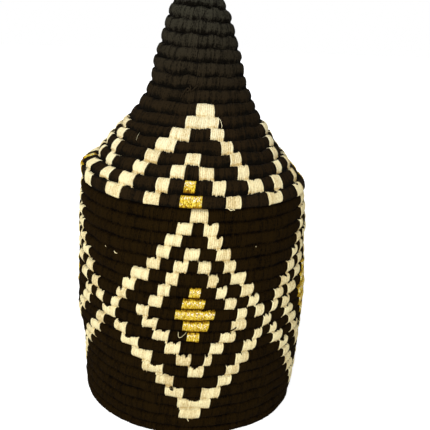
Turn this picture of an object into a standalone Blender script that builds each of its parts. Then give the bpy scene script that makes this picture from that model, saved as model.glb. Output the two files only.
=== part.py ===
"""A coiled basket with a tall bell-shaped lid, in metres with +Z up.

The base and the lid are each one climbing coil of wrapped rows. Here every stretch of a coil is a turned
wall whose outer side swells once for each row. The base stands on Z = 0, centred on the Z axis, and the
front faces -Y. The coloured yarn of the lozenges is a thin skin that stands just off the rows it covers.
"""

import math

import bmesh
import bpy
import numpy as np

# Base, radii at the crests of its rows
BASE_HEIGHT = 0.167
RIM_RADIUS = 0.0815
BELLY_RADIUS = 0.0865
BELLY_HEIGHT = 0.084
FOOT_RADIUS = 0.0805
CORNER_RADIUS = 0.008
FLANGE_WIDTH = 0.0065

# Lid, a straight tapering spire that spreads into a bell towards its rim
LID_HEIGHT = 0.163
LID_OVERHANG = 0.0019
SPIRE_FOOT_RADIUS = 0.0563
SPIRE_TOP_RADIUS = 0.0128
BELL_HEIGHT = 0.071
CAP_HEIGHT = 0.012
HOLLOW_TOP_RADIUS = 0.005

# Coil
COIL_THICKNESS = 0.008
BASE_ROW = 0.0084
LID_ROW = 0.0094
GROOVE_DEPTH = 0.0015
FLOOR_GROOVE_DEPTH = 0.0010
FLOOR_GROOVE_HALF_WIDTH = 0.0012

# Locating lip inside the base's rim
LIP_HEIGHT = 0.012
LIP_SEAT = 0.0078
LIP_THICKNESS = 0.0055
LIP_ROWS = 2
LIP_GROOVE_DEPTH = 0.0007
LIP_CLEARANCE = 0.0012

# Clearance between pieces that touch
SEAT_GAP = 0.0003

# Coloured yarn
YARN_STANDOFF = 0.0006
YARN_THICKNESS = 0.0008
YARN_EDGE_MARGIN = 0.0009

# Stepped motifs. The angles run to the right from the front. A step is how far an arm moves from one row to
# the next, and BLACK_STEPS of it stay black between an arm and the patch diagonally beyond it.
BASE_CENTRES = (2.0, 71.0, 139.0, 207.0, 277.0)
LID_CENTRES = (-1.0, 74.0, 141.0, 207.0, 274.0)
NEIGHBOUR_GAP = 0.0012
BLACK_STEPS = 0.3
APEX_HALF_WIDTH = 0.0070
NARROWEST_OPENING = 0.0020
NARROWEST_PATCH = 0.0040

# Lozenges of the base, rows counted down from its rim
PLAIN_FOOT_ROWS = 2
UPPER_RUN_SHARE = 0.458
LOWER_RUN_SHARE = 0.411
INNER_INSET_ABOVE = 3
INNER_INSET_BELOW = 4
GOLD_BLACK_STEPS = 2.0

# Chevrons of the lid, rows counted down from their apex to the rim
LID_OUTER_ROWS = 8
LID_INNER_ROWS = 4
LID_GOLD_ROWS = 2
LID_INNER_STEP_SHARE = 1.23
LID_INNER_BLACK_STEPS = 0.55
LID_GOLD_STEP_SHARE = 0.58

# Facets
WALL_SEGMENTS = 32
OUTLINE_SAMPLES = 400
INNER_SAMPLES = 9
WIDEST_FACET = math.radians(10.0)

MERGE_DISTANCE = 0.00005


class Outline:
    """A turned outline that runs down its outer side, read by the distance along it."""

    def __init__(self, radii, heights):
        self.radii = np.asarray(radii)
        self.heights = np.asarray(heights)
        steps = np.hypot(np.diff(self.radii), np.diff(self.heights))
        self.along = np.concatenate([[0.0], np.cumsum(steps)])
        self.length = self.along[-1]
        slope_r = np.gradient(self.radii, self.along)
        slope_z = np.gradient(self.heights, self.along)
        size = np.hypot(slope_r, slope_z)
        self.out_r = -slope_z / size
        self.out_z = slope_r / size

    def point(self, distance, depth=0.0):
        """Radius and height at a distance, sunk by depth along the inward normal."""
        radius = np.interp(distance, self.along, self.radii)
        height = np.interp(distance, self.along, self.heights)
        out_r = np.interp(distance, self.along, self.out_r)
        out_z = np.interp(distance, self.along, self.out_z)
        return radius - depth * out_r, height - depth * out_z


def base_side(height):
    """Crest radius of the base's side: two parabolas that meet at the belly."""
    above = (height - BELLY_HEIGHT) / (BASE_HEIGHT - BELLY_HEIGHT)
    below = (BELLY_HEIGHT - height) / BELLY_HEIGHT
    upper = BELLY_RADIUS - (BELLY_RADIUS - RIM_RADIUS) * above**2
    lower = BELLY_RADIUS - (BELLY_RADIUS - FOOT_RADIUS) * below**2
    return np.where(height > BELLY_HEIGHT, upper, lower)


def base_outline():
    """The side from the rim down, then a quarter circle that curves under to the floor."""
    heights = np.linspace(BASE_HEIGHT, CORNER_RADIUS, OUTLINE_SAMPLES)
    radii = base_side(heights)
    turn = np.linspace(0.0, math.pi / 2, OUTLINE_SAMPLES // 8)[1:]
    corner_r = radii[-1] - CORNER_RADIUS * (1 - np.cos(turn))
    corner_z = CORNER_RADIUS * (1 - np.sin(turn))
    return Outline(np.concatenate([radii, corner_r]), np.concatenate([heights, corner_z]))


def lid_side(height):
    """Crest radius of the lid above its rim: a straight spire plus a half cosine bell."""
    share = height / (LID_HEIGHT - CAP_HEIGHT)
    spire = SPIRE_FOOT_RADIUS + (SPIRE_TOP_RADIUS - SPIRE_FOOT_RADIUS) * share
    phase = np.clip(height / BELL_HEIGHT, 0.0, 1.0)
    bell = (RIM_RADIUS + LID_OVERHANG - SPIRE_FOOT_RADIUS) * (1 + np.cos(math.pi * phase)) / 2
    into_cap = np.clip((height - (LID_HEIGHT - CAP_HEIGHT)) / CAP_HEIGHT, 0.0, 1.0)
    return (spire + bell) * np.sqrt(1 - into_cap**2)


def lid_outline():
    """The lid's side from its tip down to its rim, with points drawn close together at the blunt tip."""
    share = np.linspace(0.0, 1.0, OUTLINE_SAMPLES)
    heights = LID_HEIGHT * (1 - share**1.5)
    return Outline(lid_side(heights), heights)


def inner_radius(side, height):
    """Radius of a wall's inner face, the coil's thickness inside its crests, measured square to the slope."""
    step = 0.0005
    slope = (side(height + step) - side(height - step)) / (2 * step)
    return side(height) - COIL_THICKNESS * np.sqrt(1 + slope**2)


def base_row_count():
    """Rows of the base between its rim and the last whole row above the floor."""
    return int(base_outline().length / BASE_ROW)


def lid_row_count():
    """Rows of the lid between its rim and its tip."""
    return round(lid_outline().length / LID_ROW)


def lid_tip_rows():
    """Rows below the tip that are too tight to leave a hollow inside them."""
    outline = lid_outline()
    pitch = outline.length / lid_row_count()
    rows = np.arange(1, lid_row_count())
    hollow = inner_radius(lid_side, outline.point(rows * pitch)[1])
    return int(rows[np.argmax(hollow > HOLLOW_TOP_RADIUS)])


def floor_disc_radius():
    """The floor disc's edge, where the flange at the foot of the wall begins."""
    return float(inner_radius(base_side, COIL_THICKNESS)) - FLANGE_WIDTH


def rows_down(outline, first, last, pitch, depth):
    """Outer points of the rows from distance first to last: sunk between rows, full at each crest."""
    halves = max(2, 2 * round((last - first) / pitch))
    distances = np.linspace(first, last, halves + 1)
    depths = np.where(np.arange(halves + 1) % 2 == 0, depth, 0.0)
    radii, heights = outline.point(distances, depths)
    return list(zip(radii, heights))


def new_material(name, colour, roughness, metallic=0.0):
    """A Principled material."""
    material = bpy.data.materials.new(name)
    material.use_nodes = True
    shader = material.node_tree.nodes["Principled BSDF"]
    shader.inputs["Base Color"].default_value = (*colour, 1.0)
    shader.inputs["Roughness"].default_value = roughness
    shader.inputs["Metallic"].default_value = metallic
    return material


def add_object(name, mesh, parent, material):
    """An object of this mesh in the basket's collection, under its parent empty."""
    obj = bpy.data.objects.new(name, mesh)
    parent.users_collection[0].objects.link(obj)
    obj.parent = parent
    obj.data.materials.append(material)
    return obj


def turned(name, profile, parent, material, closed=True):
    """A Screw of a profile that runs down its outer side and back up inside, or between two poles."""
    mesh = bpy.data.meshes.new(name)
    count = len(profile)
    edges = [(i, i + 1) for i in range(count - 1)]
    if closed:
        edges.append((count - 1, 0))
    mesh.from_pydata([(float(r), 0.0, float(z)) for r, z in profile], edges, [])
    obj = add_object(name, mesh, parent, material)
    screw = obj.modifiers.new("turn", "SCREW")
    screw.axis = "Z"
    screw.steps = WALL_SEGMENTS
    screw.render_steps = WALL_SEGMENTS
    screw.use_merge_vertices = True
    screw.merge_threshold = MERGE_DISTANCE
    return obj


def base_floor(parent, material):
    """The flat spiral disc, with a groove under it between each row and the next."""
    edge = floor_disc_radius()
    rows = max(2, round(edge / BASE_ROW))
    pitch = edge / rows
    profile = [(0.0, COIL_THICKNESS), (edge, COIL_THICKNESS), (edge, 0.0)]
    for row in range(rows - 1, 0, -1):
        profile.append((row * pitch + FLOOR_GROOVE_HALF_WIDTH, 0.0))
        profile.append((row * pitch, FLOOR_GROOVE_DEPTH))
        profile.append((row * pitch - FLOOR_GROOVE_HALF_WIDTH, 0.0))
    profile.append((0.0, 0.0))
    turned("base_floor", profile, parent, material, closed=False)


def base_wall(parent, material):
    """The side below the rim row, curved under at the floor, with a flange that meets the floor disc."""
    outline = base_outline()
    last_row = base_row_count() * BASE_ROW
    outer = rows_down(outline, BASE_ROW + SEAT_GAP / 2, last_row, BASE_ROW, GROOVE_DEPTH)
    outer[-1] = outline.point(last_row, GROOVE_DEPTH / 2)
    outer.append((outline.radii[-1], 0.0))
    flange_radius = floor_disc_radius() + SEAT_GAP
    inner_heights = np.linspace(COIL_THICKNESS, outer[0][1], INNER_SAMPLES)
    inner = list(zip(inner_radius(base_side, inner_heights), inner_heights))
    profile = outer + [(flange_radius, 0.0), (flange_radius, COIL_THICKNESS)] + inner
    turned("base_wall", profile, parent, material)


def base_rim(parent, material):
    """The last row, with a level top that the lid stands on."""
    outer = rows_down(base_outline(), 0.0, BASE_ROW - SEAT_GAP / 2, BASE_ROW, GROOVE_DEPTH)
    outer[0] = (outer[0][0], BASE_HEIGHT)
    heights = np.array([outer[-1][1], BASE_HEIGHT])
    inner = list(zip(inner_radius(base_side, heights), heights))
    turned("base_rim", outer + inner, parent, material)


def lip_outline():
    """Against the rim's inner face below the joint, and under the lid's inner face above it."""
    heights = np.linspace(BASE_HEIGHT + LIP_HEIGHT, BASE_HEIGHT - LIP_SEAT, OUTLINE_SAMPLES)
    in_rim = inner_radius(base_side, np.minimum(heights, BASE_HEIGHT)) - SEAT_GAP
    above_joint = np.maximum(heights - BASE_HEIGHT - SEAT_GAP, 0.0)
    in_lid = inner_radius(lid_side, above_joint) - LIP_CLEARANCE
    radii = np.where(heights > BASE_HEIGHT, np.minimum(in_lid, in_rim), in_rim)
    return Outline(radii, heights)


def base_lip(parent, material):
    """The short stretch of coil stitched inside the rim, which keeps the lid in place."""
    outline = lip_outline()
    pitch = outline.length / LIP_ROWS
    outer = rows_down(outline, 0.0, outline.length, pitch, LIP_GROOVE_DEPTH)
    distances = np.linspace(outline.length, 0.0, LIP_ROWS + 1)
    heights = np.interp(distances, outline.along, outline.heights)
    radii = np.interp(distances, outline.along, outline.radii) - LIP_THICKNESS
    turned("base_lip", outer + list(zip(radii, heights)), parent, material)


def lid_band(name, first_row, last_row, parent, material):
    """The lid's rows from first_row to last_row, counted up from its rim, with the hollow inside."""
    outline = lid_outline()
    pitch = outline.length / lid_row_count()
    top = outline.length - last_row * pitch + SEAT_GAP / 2
    bottom = outline.length - first_row * pitch - (SEAT_GAP / 2 if first_row else 0.0)
    outer = rows_down(outline, top, bottom, pitch, GROOVE_DEPTH)
    if not first_row:
        outer[-1] = (outer[-1][0], 0.0)
    samples = 2 if last_row - first_row < 2 else INNER_SAMPLES + 2
    heights = np.linspace(outer[-1][1], outer[0][1], samples)
    inner = list(zip(inner_radius(lid_side, heights), heights))
    turned(name, outer + inner, parent, material)


def lid_tip(parent, material):
    """The coil's tight solid start, which closes the top of the hollow."""
    outline = lid_outline()
    pitch = outline.length / lid_row_count()
    outer = rows_down(outline, 0.0, lid_tip_rows() * pitch - SEAT_GAP / 2, pitch, GROOVE_DEPTH)
    outer[0] = (0.0, LID_HEIGHT)
    outer[1] = outline.point(pitch / 2)
    outer.append((0.0, outer[-1][1]))
    turned("lid_tip", outer, parent, material, closed=False)


def row_levels(outline, row_top, pitch, edge_top=0.0, edge_bottom=0.0):
    """Radius and height of the yarn's back face at a row's upper edge, crest and lower edge."""
    levels = (row_top + edge_top, row_top + pitch / 2, row_top + pitch - edge_bottom)
    sunk = (GROOVE_DEPTH * (1 - 2 * edge_top / pitch), 0.0, GROOVE_DEPTH * (1 - 2 * edge_bottom / pitch))
    return [outline.point(level, depth - YARN_STANDOFF) for level, depth in zip(levels, sunk)]


def facet_ends(low, high):
    """Angles from low to high, no further apart than the widest facet."""
    parts = max(1, math.ceil((high - low) / WIDEST_FACET - 1e-6))
    return np.linspace(low, high, parts + 1)


def edge_angles(patch, neighbours):
    """The angles at which a patch's edge needs a corner: its own facets, and the ends of patches beyond."""
    low, high = patch
    angles = set(np.round(facet_ends(low, high), 6))
    for other in neighbours:
        angles |= {round(float(end), 6) for end in facet_ends(*other) if low < end < high}
    return sorted(angles)


def yarn_patches(name, rows, parent, material):
    """One skin of stepped patches. rows holds, for each coil row, its three levels and its angle pairs."""
    work = bmesh.new()
    corners = {}

    def corner(level_id, level, angle):
        key = (level_id, round(float(angle), 6))
        if key not in corners:
            radius, height = level
            corners[key] = work.verts.new((radius * math.sin(angle), -radius * math.cos(angle), height))
        return corners[key]

    for index, (levels, patches) in enumerate(rows):
        above = rows[index - 1][1] if index else []
        below = rows[index + 1][1] if index + 1 < len(rows) else []
        for patch in patches:
            crest_ends = facet_ends(*patch)
            top = [corner(2 * index, levels[0], a) for a in edge_angles(patch, above)]
            crest = [corner(2 * index + 1, levels[1], a) for a in crest_ends]
            bottom = [corner(2 * index + 2, levels[2], a) for a in edge_angles(patch, below)]
            work.faces.new(crest + top[::-1])
            work.faces.new(bottom + crest[::-1])
    bmesh.ops.triangulate(work, faces=work.faces)
    mesh = bpy.data.meshes.new(name)
    work.to_mesh(mesh)
    work.free()
    obj = add_object(name, mesh, parent, material)
    thicken = obj.modifiers.new("yarn", "SOLIDIFY")
    thicken.thickness = YARN_THICKNESS
    thicken.offset = 1.0
    return obj


def half_gaps(centres):
    """For each motif its centre, and the angles from it to the borders it shares with its neighbours."""
    count = len(centres)
    found = []
    for index, centre in enumerate(centres):
        before = (centre - centres[index - 1]) % 360.0
        after = (centres[(index + 1) % count] - centre) % 360.0
        found.append((math.radians(centre), np.radians([before, after]) / 2))
    return found


def two_arms(centre, reaches, widths, radius):
    """The angle pairs of a row's two patches, or of the one patch where they would nearly meet."""
    low, high = centre - reaches[0], centre + reaches[1]
    if high - low < widths[0] + widths[1] + NARROWEST_OPENING / radius:
        return [(low, high)]
    return [(low, low + widths[0]), (high - widths[1], high)]


def whole_patch(centre, reach, radius):
    """The angle pair of a patch that reaches as far to each side, or none where it would be too narrow."""
    return [(centre - reach, centre + reach)] if 2 * reach * radius > NARROWEST_PATCH else []


def base_rows(last, patches_of):
    """Levels and patches of the rows of the base that have any, down from 1 at the rim."""
    outline = base_outline()
    rows = []
    for row in range(1, last + 1):
        edge_top = YARN_EDGE_MARGIN if row == 1 else 0.0
        levels = row_levels(outline, (row - 1) * BASE_ROW, BASE_ROW, edge_top=edge_top)
        patches = patches_of(row, levels[1][0])
        if patches:
            rows.append((levels, patches))
    return rows


def base_lozenges(parent, white, gold):
    """The outer, inner and gold lozenges of each motif of the base, each nested in the one before."""
    last = base_row_count() - PLAIN_FOOT_ROWS
    upper_run = last * UPPER_RUN_SHARE
    lower_run = last * LOWER_RUN_SHARE
    for number, (centre, gaps) in enumerate(half_gaps(BASE_CENTRES), start=1):

        def sizes(radius):
            apex = APEX_HALF_WIDTH / radius
            spread = gaps - NEIGHBOUR_GAP / radius - apex
            return apex, spread, (2 - BLACK_STEPS) * spread / upper_run

        def arms(row, radius, above, below):
            apex, spread, widths = sizes(radius)
            progress = min((row - 1 - above) / upper_run, (last - row - below) / lower_run, 1.0)
            return apex + spread * progress, widths, progress

        def outer(row, radius):
            reaches, widths, _ = arms(row, radius, 0, 0)
            return two_arms(centre, reaches, widths, radius)

        def inner(row, radius):
            reaches, widths, progress = arms(row, radius, INNER_INSET_ABOVE, INNER_INSET_BELOW)
            return two_arms(centre, reaches, widths, radius) if progress >= 0 else []

        def golden(row, radius):
            reaches, widths, _ = arms(row, radius, INNER_INSET_ABOVE, INNER_INSET_BELOW)
            black = GOLD_BLACK_STEPS / (2 - BLACK_STEPS) * widths
            return whole_patch(centre, min(reaches - widths - black), radius)

        yarn_patches(f"base_white_outer_{number}", base_rows(last, outer), parent, white)
        yarn_patches(f"base_white_inner_{number}", base_rows(last, inner), parent, white)
        yarn_patches(f"base_gold_{number}", base_rows(last, golden), parent, gold)


def lid_rows(count, patches_of):
    """Levels and patches of the lowest rows of the lid, counted down from 1 at the chevron's apex."""
    outline = lid_outline()
    pitch = outline.length / lid_row_count()
    rows = []
    for row in range(1, count + 1):
        edge_bottom = YARN_EDGE_MARGIN if row == count else 0.0
        row_top = outline.length - (count + 1 - row) * pitch
        levels = row_levels(outline, row_top, pitch, edge_bottom=edge_bottom)
        rows.append((levels, patches_of(row, levels[1][0])))
    return rows


def lid_chevrons(parent, white, gold):
    """The outer, inner and gold chevrons of each motif of the lid, open at the rim."""
    rim_radius = float(lid_side(0.0))
    for number, (centre, gaps) in enumerate(half_gaps(LID_CENTRES), start=1):
        steps = gaps / LID_OUTER_ROWS
        inner_step = LID_INNER_STEP_SHARE * min(steps)
        gold_step = LID_GOLD_STEP_SHARE * min(steps)

        def outer(row, radius):
            share = min((row + 1) / LID_OUTER_ROWS, 1.0)
            widths = (2 - BLACK_STEPS) * steps * rim_radius / radius
            return two_arms(centre, share * (gaps - NEIGHBOUR_GAP / radius), widths, radius)

        def inner(row, radius):
            width = (2 - LID_INNER_BLACK_STEPS) * min(steps) * rim_radius / radius
            return two_arms(centre, np.full(2, inner_step * row), np.full(2, width), radius)

        def golden(row, radius):
            return whole_patch(centre, gold_step * row, radius)

        yarn_patches(f"lid_white_outer_{number}", lid_rows(LID_OUTER_ROWS, outer), parent, white)
        yarn_patches(f"lid_white_inner_{number}", lid_rows(LID_INNER_ROWS, inner), parent, white)
        yarn_patches(f"lid_gold_{number}", lid_rows(LID_GOLD_ROWS, golden), parent, gold)


def clear_scene():
    """Removes whatever the scene starts with."""
    for obj in list(bpy.data.objects):
        bpy.data.objects.remove(obj, do_unlink=True)


def new_empty(name, height, collection):
    """An empty on the Z axis that carries a moving or a standing group."""
    empty = bpy.data.objects.new(name, None)
    empty.location = (0.0, 0.0, height)
    collection.objects.link(empty)
    return empty


def main():
    clear_scene()
    collection = bpy.data.collections.new("lidded_basket")
    bpy.context.scene.collection.children.link(collection)
    base = new_empty("base", 0.0, collection)
    lid = new_empty("lid", BASE_HEIGHT + SEAT_GAP, collection)
    black = new_material("black_yarn", (0.018, 0.013, 0.009), 0.9)
    lip_black = new_material("lip_yarn", (0.024, 0.018, 0.013), 0.9)
    white = new_material("white_yarn", (0.86, 0.77, 0.51), 0.85)
    gold = new_material("gold_yarn", (0.72, 0.50, 0.11), 0.4, metallic=0.85)
    base_floor(base, black)
    base_wall(base, black)
    base_rim(base, black)
    base_lip(base, lip_black)
    base_lozenges(base, white, gold)
    hollow_rows = lid_row_count() - lid_tip_rows()
    lid_band("lid_rim", 0, 1, lid, black)
    lid_band("lid_bell", 1, hollow_rows, lid, black)
    lid_tip(lid, black)
    lid_chevrons(lid, white, gold)


main()
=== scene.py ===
"""The lidded basket dressed for its picture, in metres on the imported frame, with the front towards -Y.

The base and the lid are each one coil that climbs a row in every turn. A coil is a bundle wrapped across
its length in yarn, and each wrap is also a stitch whose foot lies on the row below. A place on a coil is
told in turns: turn 0 is the front of its first row, and whole turns lie straight below one another.
"""

import logging
import math
from collections.abc import Callable
from dataclasses import dataclass, field
from enum import Enum

import bpy
import numpy as np
from mathutils import Matrix, Vector


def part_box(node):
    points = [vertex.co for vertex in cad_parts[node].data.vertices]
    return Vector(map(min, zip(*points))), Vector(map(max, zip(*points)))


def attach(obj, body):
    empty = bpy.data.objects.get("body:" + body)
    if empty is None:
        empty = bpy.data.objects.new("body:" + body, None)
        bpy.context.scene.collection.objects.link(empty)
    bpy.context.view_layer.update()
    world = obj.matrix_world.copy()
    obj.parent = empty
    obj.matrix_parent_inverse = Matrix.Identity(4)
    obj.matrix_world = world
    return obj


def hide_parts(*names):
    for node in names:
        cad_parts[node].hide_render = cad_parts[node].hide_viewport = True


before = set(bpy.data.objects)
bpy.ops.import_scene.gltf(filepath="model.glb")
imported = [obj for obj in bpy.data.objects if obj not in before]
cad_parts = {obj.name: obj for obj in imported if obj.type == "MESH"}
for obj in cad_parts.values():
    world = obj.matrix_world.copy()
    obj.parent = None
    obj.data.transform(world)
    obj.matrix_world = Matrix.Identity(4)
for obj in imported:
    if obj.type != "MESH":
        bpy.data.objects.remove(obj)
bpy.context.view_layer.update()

LOG = logging.getLogger("basket")
MM = 0.001
FULL_TURN = 2 * math.pi
WHITE_LIGHT = (1.0, 1.0, 1.0, 1.0)

Array = np.ndarray
Colour = tuple[float, float, float]
# The left and right ends of a row's patches, by row.
Chart = dict[int, tuple[float, ...]]
RowTurn = Callable[[float], float]
# A loose thread: its thickness, then its places in degrees, rows and mm of lift.
Stray = tuple[float, tuple[tuple[float, float, float], ...]]
Socket = bpy.types.NodeSocket
Value = float | tuple[float, ...] | Socket


class YarnKind(Enum):
    """The yarns that rows are wrapped in, each with its name and the record's slot that it belongs to."""

    BLACK = ("warm_black", "black_yarn")
    # The lid's black: a lighter, greyer copy of the black whose material paints light from above on its top.
    LID_BLACK = ("dusty_black", "black_yarn")
    LIP = ("lip_brown", "lip_yarn")
    WHITE = ("cream", "white_yarn")
    GOLD = ("gold_foil", "gold_yarn")

    @property
    def label(self) -> str:
        """The yarn's own name."""
        return self.value[0]

    @property
    def slot(self) -> str:
        """The record's slot."""
        return self.value[1]


Materials = dict[YarnKind, bpy.types.Material]


class NotchStyle(Enum):
    """How the black stitches of the row above bite into the top of a coloured patch.

    A bite's numbers are its middle along the patch, how far a leaning patch moves it, its width and depth.
    """

    SINGLE = ((0.5, 0.18, 0.34, 0.18),)
    SMALL = ((0.3, -0.1, 0.12, 0.05), (0.75, 0.0, 0.10, 0.04))
    DOUBLE = ((0.28, 0.06, 0.16, 0.11), (0.73, 0.05, 0.18, 0.15))


def smoothstep(x: Array) -> Array:
    """A soft step from 0 to 1 over the same range, 3 x^2 - 2 x^3, level at both ends and beyond them."""
    x = np.clip(x, 0.0, 1.0)
    return x * x * (3 - 2 * x)


def linked(name: str, data: bpy.types.ID) -> bpy.types.Object:
    """Puts a new object in the scene.

    Args:
        name: Its name.
        data: Its mesh, lamp or camera data.

    Returns:
        The object.
    """
    made = bpy.data.objects.new(name, data)
    bpy.context.scene.collection.objects.link(made)
    return made


def in_rings(values: tuple[float, ...], rings: int) -> Array:
    """The same values for each of a number of rings."""
    return np.broadcast_to(np.array(values), (rings, len(values)))


class Nodes:
    """Builds the node tree of one material or world, socket by socket."""

    def __init__(self, owner: bpy.types.Material | bpy.types.World) -> None:
        """Starts an empty tree.

        Args:
            owner: The material or the world.
        """
        owner.use_nodes = True
        self.owner = owner
        self.tree = owner.node_tree
        self.tree.nodes.clear()

    def add(self, kind: str, inputs: dict | None = None, **settings) -> bpy.types.Node:
        """Adds a node.

        Args:
            kind: The node's type, without the words ShaderNode in front.
            inputs: Values or source sockets for its inputs, by input name or number.
            **settings: The node's own properties.

        Returns:
            The new node.
        """
        node = self.tree.nodes.new("ShaderNode" + kind)
        for key, value in settings.items():
            setattr(node, key, value)
        for key, value in (inputs or {}).items():
            if isinstance(value, Socket):
                self.tree.links.new(value, node.inputs[key])
            else:
                node.inputs[key].default_value = value
        return node

    def maths(self, operation: str, first: Value, second: Value = 0.0, third: Value = 0.0) -> Socket:
        """Adds a Math node and returns its output.

        Args:
            operation: The operation's name.
            first: The first value or socket.
            second: The second value or socket.
            third: The third value or socket.

        Returns:
            The result's socket.
        """
        return self.add("Math", {0: first, 1: second, 2: third}, operation=operation).outputs[0]

    def blend(self, share: Value, first: Value, second: Value) -> Socket:
        """Adds a colour mix and returns its output.

        Args:
            share: How much of the second colour, as a value or a socket.
            first: The first colour, as a value or a socket.
            second: The second colour, as a value or a socket.

        Returns:
            The mixed colour's socket.
        """
        return self.add("Mix", {0: share, 6: first, 7: second}, data_type="RGBA").outputs[2]

    def thread(self) -> tuple[Socket, Socket, Socket]:
        """Adds the thread's own coordinates.

        Returns:
            Their UV map, then its parts across the wraps and along a wrap.
        """
        place = self.add("UVMap", uv_map="thread").outputs[0]
        split = self.add("SeparateXYZ", {0: place})
        return place, split.outputs[0], split.outputs[1]

    def valley(self, across: Socket) -> Socket:
        """How near a place is to the valley between two wraps, the square of its distance from the crest.

        Args:
            across: The thread coordinate, a whole number at each valley.

        Returns:
            The nearness from 0 to 1.
        """
        part = self.maths("FRACT", across)
        off = self.maths("ABSOLUTE", self.maths("MULTIPLY_ADD", part, 2.0, -1.0))
        return self.maths("POWER", off, 2.0)

    def joint(self, along: Socket, width: float) -> Socket:
        """How near a place is to a joint between rows, falling straight to none over a width.

        Args:
            along: The share of the row, 0 and 1 at its joints, and above 1 on a stitch's foot.
            width: The share of the row that the joint's painted shade reaches.

        Returns:
            The nearness from 0 to 1.
        """
        upper = self.maths("ABSOLUTE", along)
        lower = self.maths("ABSOLUTE", self.maths("SUBTRACT", along, 1.0))
        off = self.maths("MINIMUM", upper, lower)
        return self.maths("MAXIMUM", self.maths("MULTIPLY_ADD", off, -1.0 / width, 1.0), 0.0)

    def finish(self, shader: Socket, output: str = "OutputMaterial") -> bpy.types.Material | bpy.types.World:
        """Links the shader to the output.

        Args:
            shader: The shader's socket.
            output: The output node's type.

        Returns:
            The finished material or world.
        """
        self.add(output, {"Surface": shader})
        return self.owner


@dataclass(frozen=True)
class YarnFinish:
    """Soft spun yarn with fine fibres and flecks, darker between wraps and in the joints of the rows by
    painted shade.

    Its light and dark colours mix by the weights of the valleys and the joints, where shade is painted, and
    of the mottling. Where it has a painted top light, the light colour turns to that between a low and a high
    place, as painted light by height.
    """

    kind: YarnKind
    light: Colour
    dark: Colour
    # How much painted shade the valleys between wraps and the joints between rows add to the dark, then the
    # mottling.
    valley: float
    joint: float
    mottle: float
    sheen: float
    # The colour that the light one turns to on high places: painted light from above.
    painted_top_light: Colour | None = None
    worn: float = 0.0
    joint_width: float = 0.15
    fleck: float = 1000.0
    specular: float = 0.03
    relief: float = 0.00022
    roughness: float = 0.92
    plies: float = 3.4
    # The heights between which that painted light comes in, and the power of its rise.
    low: float = 0.20
    high: float = 0.30
    rise: float = 1.0

    SHEEN_TINT = (1.0, 0.95, 0.85, 1.0)
    SHEEN_ROUGHNESS = 0.45
    FIBRE_SCALE = (2.7, 2.6, 1.0)
    CLOUD_SCALE = 75.0
    # What each part adds to the dark, and how far thick and thin clouds open and close the painted shade of a
    # joint.
    FIBRES, FLECKS, PLIES, CLOUDS, SHADE = 1.3, 1.4, 0.10, 0.45, 0.6
    CLOUD_OPENS, CLOUD_SHUTS = 2.6, 0.3
    # The bump's strength, and what flecks raise and valleys lower it by, against the fibres.
    BUMP, BUMP_FLECKS, BUMP_VALLEY = 0.8, 0.8, 0.9

    def noise(self, nodes: Nodes, place: Socket, scale: float, detail: float = 2.0) -> Socket:
        """Fine or coarse clouds of chance values from 0 to 1, in the space of a place."""
        return nodes.add("TexNoise", {"Vector": place, "Scale": scale, "Detail": detail}).outputs[0]

    def material(self) -> bpy.types.Material:
        """Builds the yarn's material on the thread's own UV map and its shade attribute.

        The share of the dark colour is a weighted sum of painted shade in the valley between wraps and in the
        joint between rows, which slow clouds open and close, and of fine fibres, flecks, twisted plies, the
        clouds and the wrap's shade. On high places the light colour turns to the painted top light.

        Returns:
            The material.
        """
        nodes = Nodes(bpy.data.materials.new(self.kind.label))
        place, across, along = nodes.thread()
        shade = nodes.add("Attribute", attribute_name="shade").outputs["Fac"]
        drawn = nodes.add("Mapping", {"Vector": place, "Scale": self.FIBRE_SCALE}).outputs[0]
        fibres = self.noise(nodes, drawn, 1.0)
        where = nodes.add("TexCoord").outputs["Object"]
        cloud = self.noise(nodes, where, self.CLOUD_SCALE)
        fleck = self.noise(nodes, where, self.fleck, detail=1.0)
        turns = nodes.maths("MULTIPLY_ADD", along, self.plies, across)
        wave = nodes.maths("SINE", nodes.maths("MULTIPLY", turns, FULL_TURN))
        ply = nodes.maths("MULTIPLY_ADD", wave, 0.5, 0.5)
        # Painted shade: darker in the valleys between wraps and, with the clouds, in the joints between rows.
        share = nodes.maths("MULTIPLY_ADD", nodes.valley(across), self.valley, self.worn)
        open_joint = nodes.maths(
            "MULTIPLY_ADD", cloud, self.CLOUD_OPENS * self.joint, -self.CLOUD_SHUTS * self.joint
        )
        joint = nodes.joint(along, self.joint_width)
        share = nodes.maths("MULTIPLY_ADD", joint, open_joint, share)
        weights = (self.FIBRES, self.FLECKS, self.PLIES, self.CLOUDS, self.SHADE)
        for part, weight in zip((fibres, fleck, ply, cloud, shade), weights):
            centred = nodes.maths("SUBTRACT", part, 0.5)
            share = nodes.maths("MULTIPLY_ADD", centred, weight * self.mottle, share)
        share = nodes.add("Clamp", {0: share}).outputs[0]
        light = (*self.light, 1.0)
        # Painted light from above: between a low and a high place the light colour turns to another one.
        if self.painted_top_light:
            height = nodes.add("SeparateXYZ", {0: where}).outputs[2]
            rise = nodes.add("MapRange", {0: height, 1: self.low, 2: self.high}).outputs[0]
            light = nodes.blend(nodes.maths("POWER", rise, self.rise), light, (*self.painted_top_light, 1.0))
        colour = nodes.blend(share, light, (*self.dark, 1.0))
        height = nodes.maths("MULTIPLY_ADD", fleck, self.BUMP_FLECKS, fibres)
        height = nodes.maths("MULTIPLY_ADD", nodes.valley(across), -self.BUMP_VALLEY, height)
        bump = nodes.add("Bump", {"Strength": self.BUMP, "Distance": self.relief, "Height": height})
        shader = nodes.add(
            "BsdfPrincipled",
            {
                "Base Color": colour,
                "Roughness": self.roughness,
                "Normal": bump.outputs[0],
                "Sheen Weight": self.sheen,
                "Sheen Roughness": self.SHEEN_ROUGHNESS,
                "Sheen Tint": self.SHEEN_TINT,
                "Specular IOR Level": self.specular,
            },
        )
        return nodes.finish(shader.outputs[0])


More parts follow.
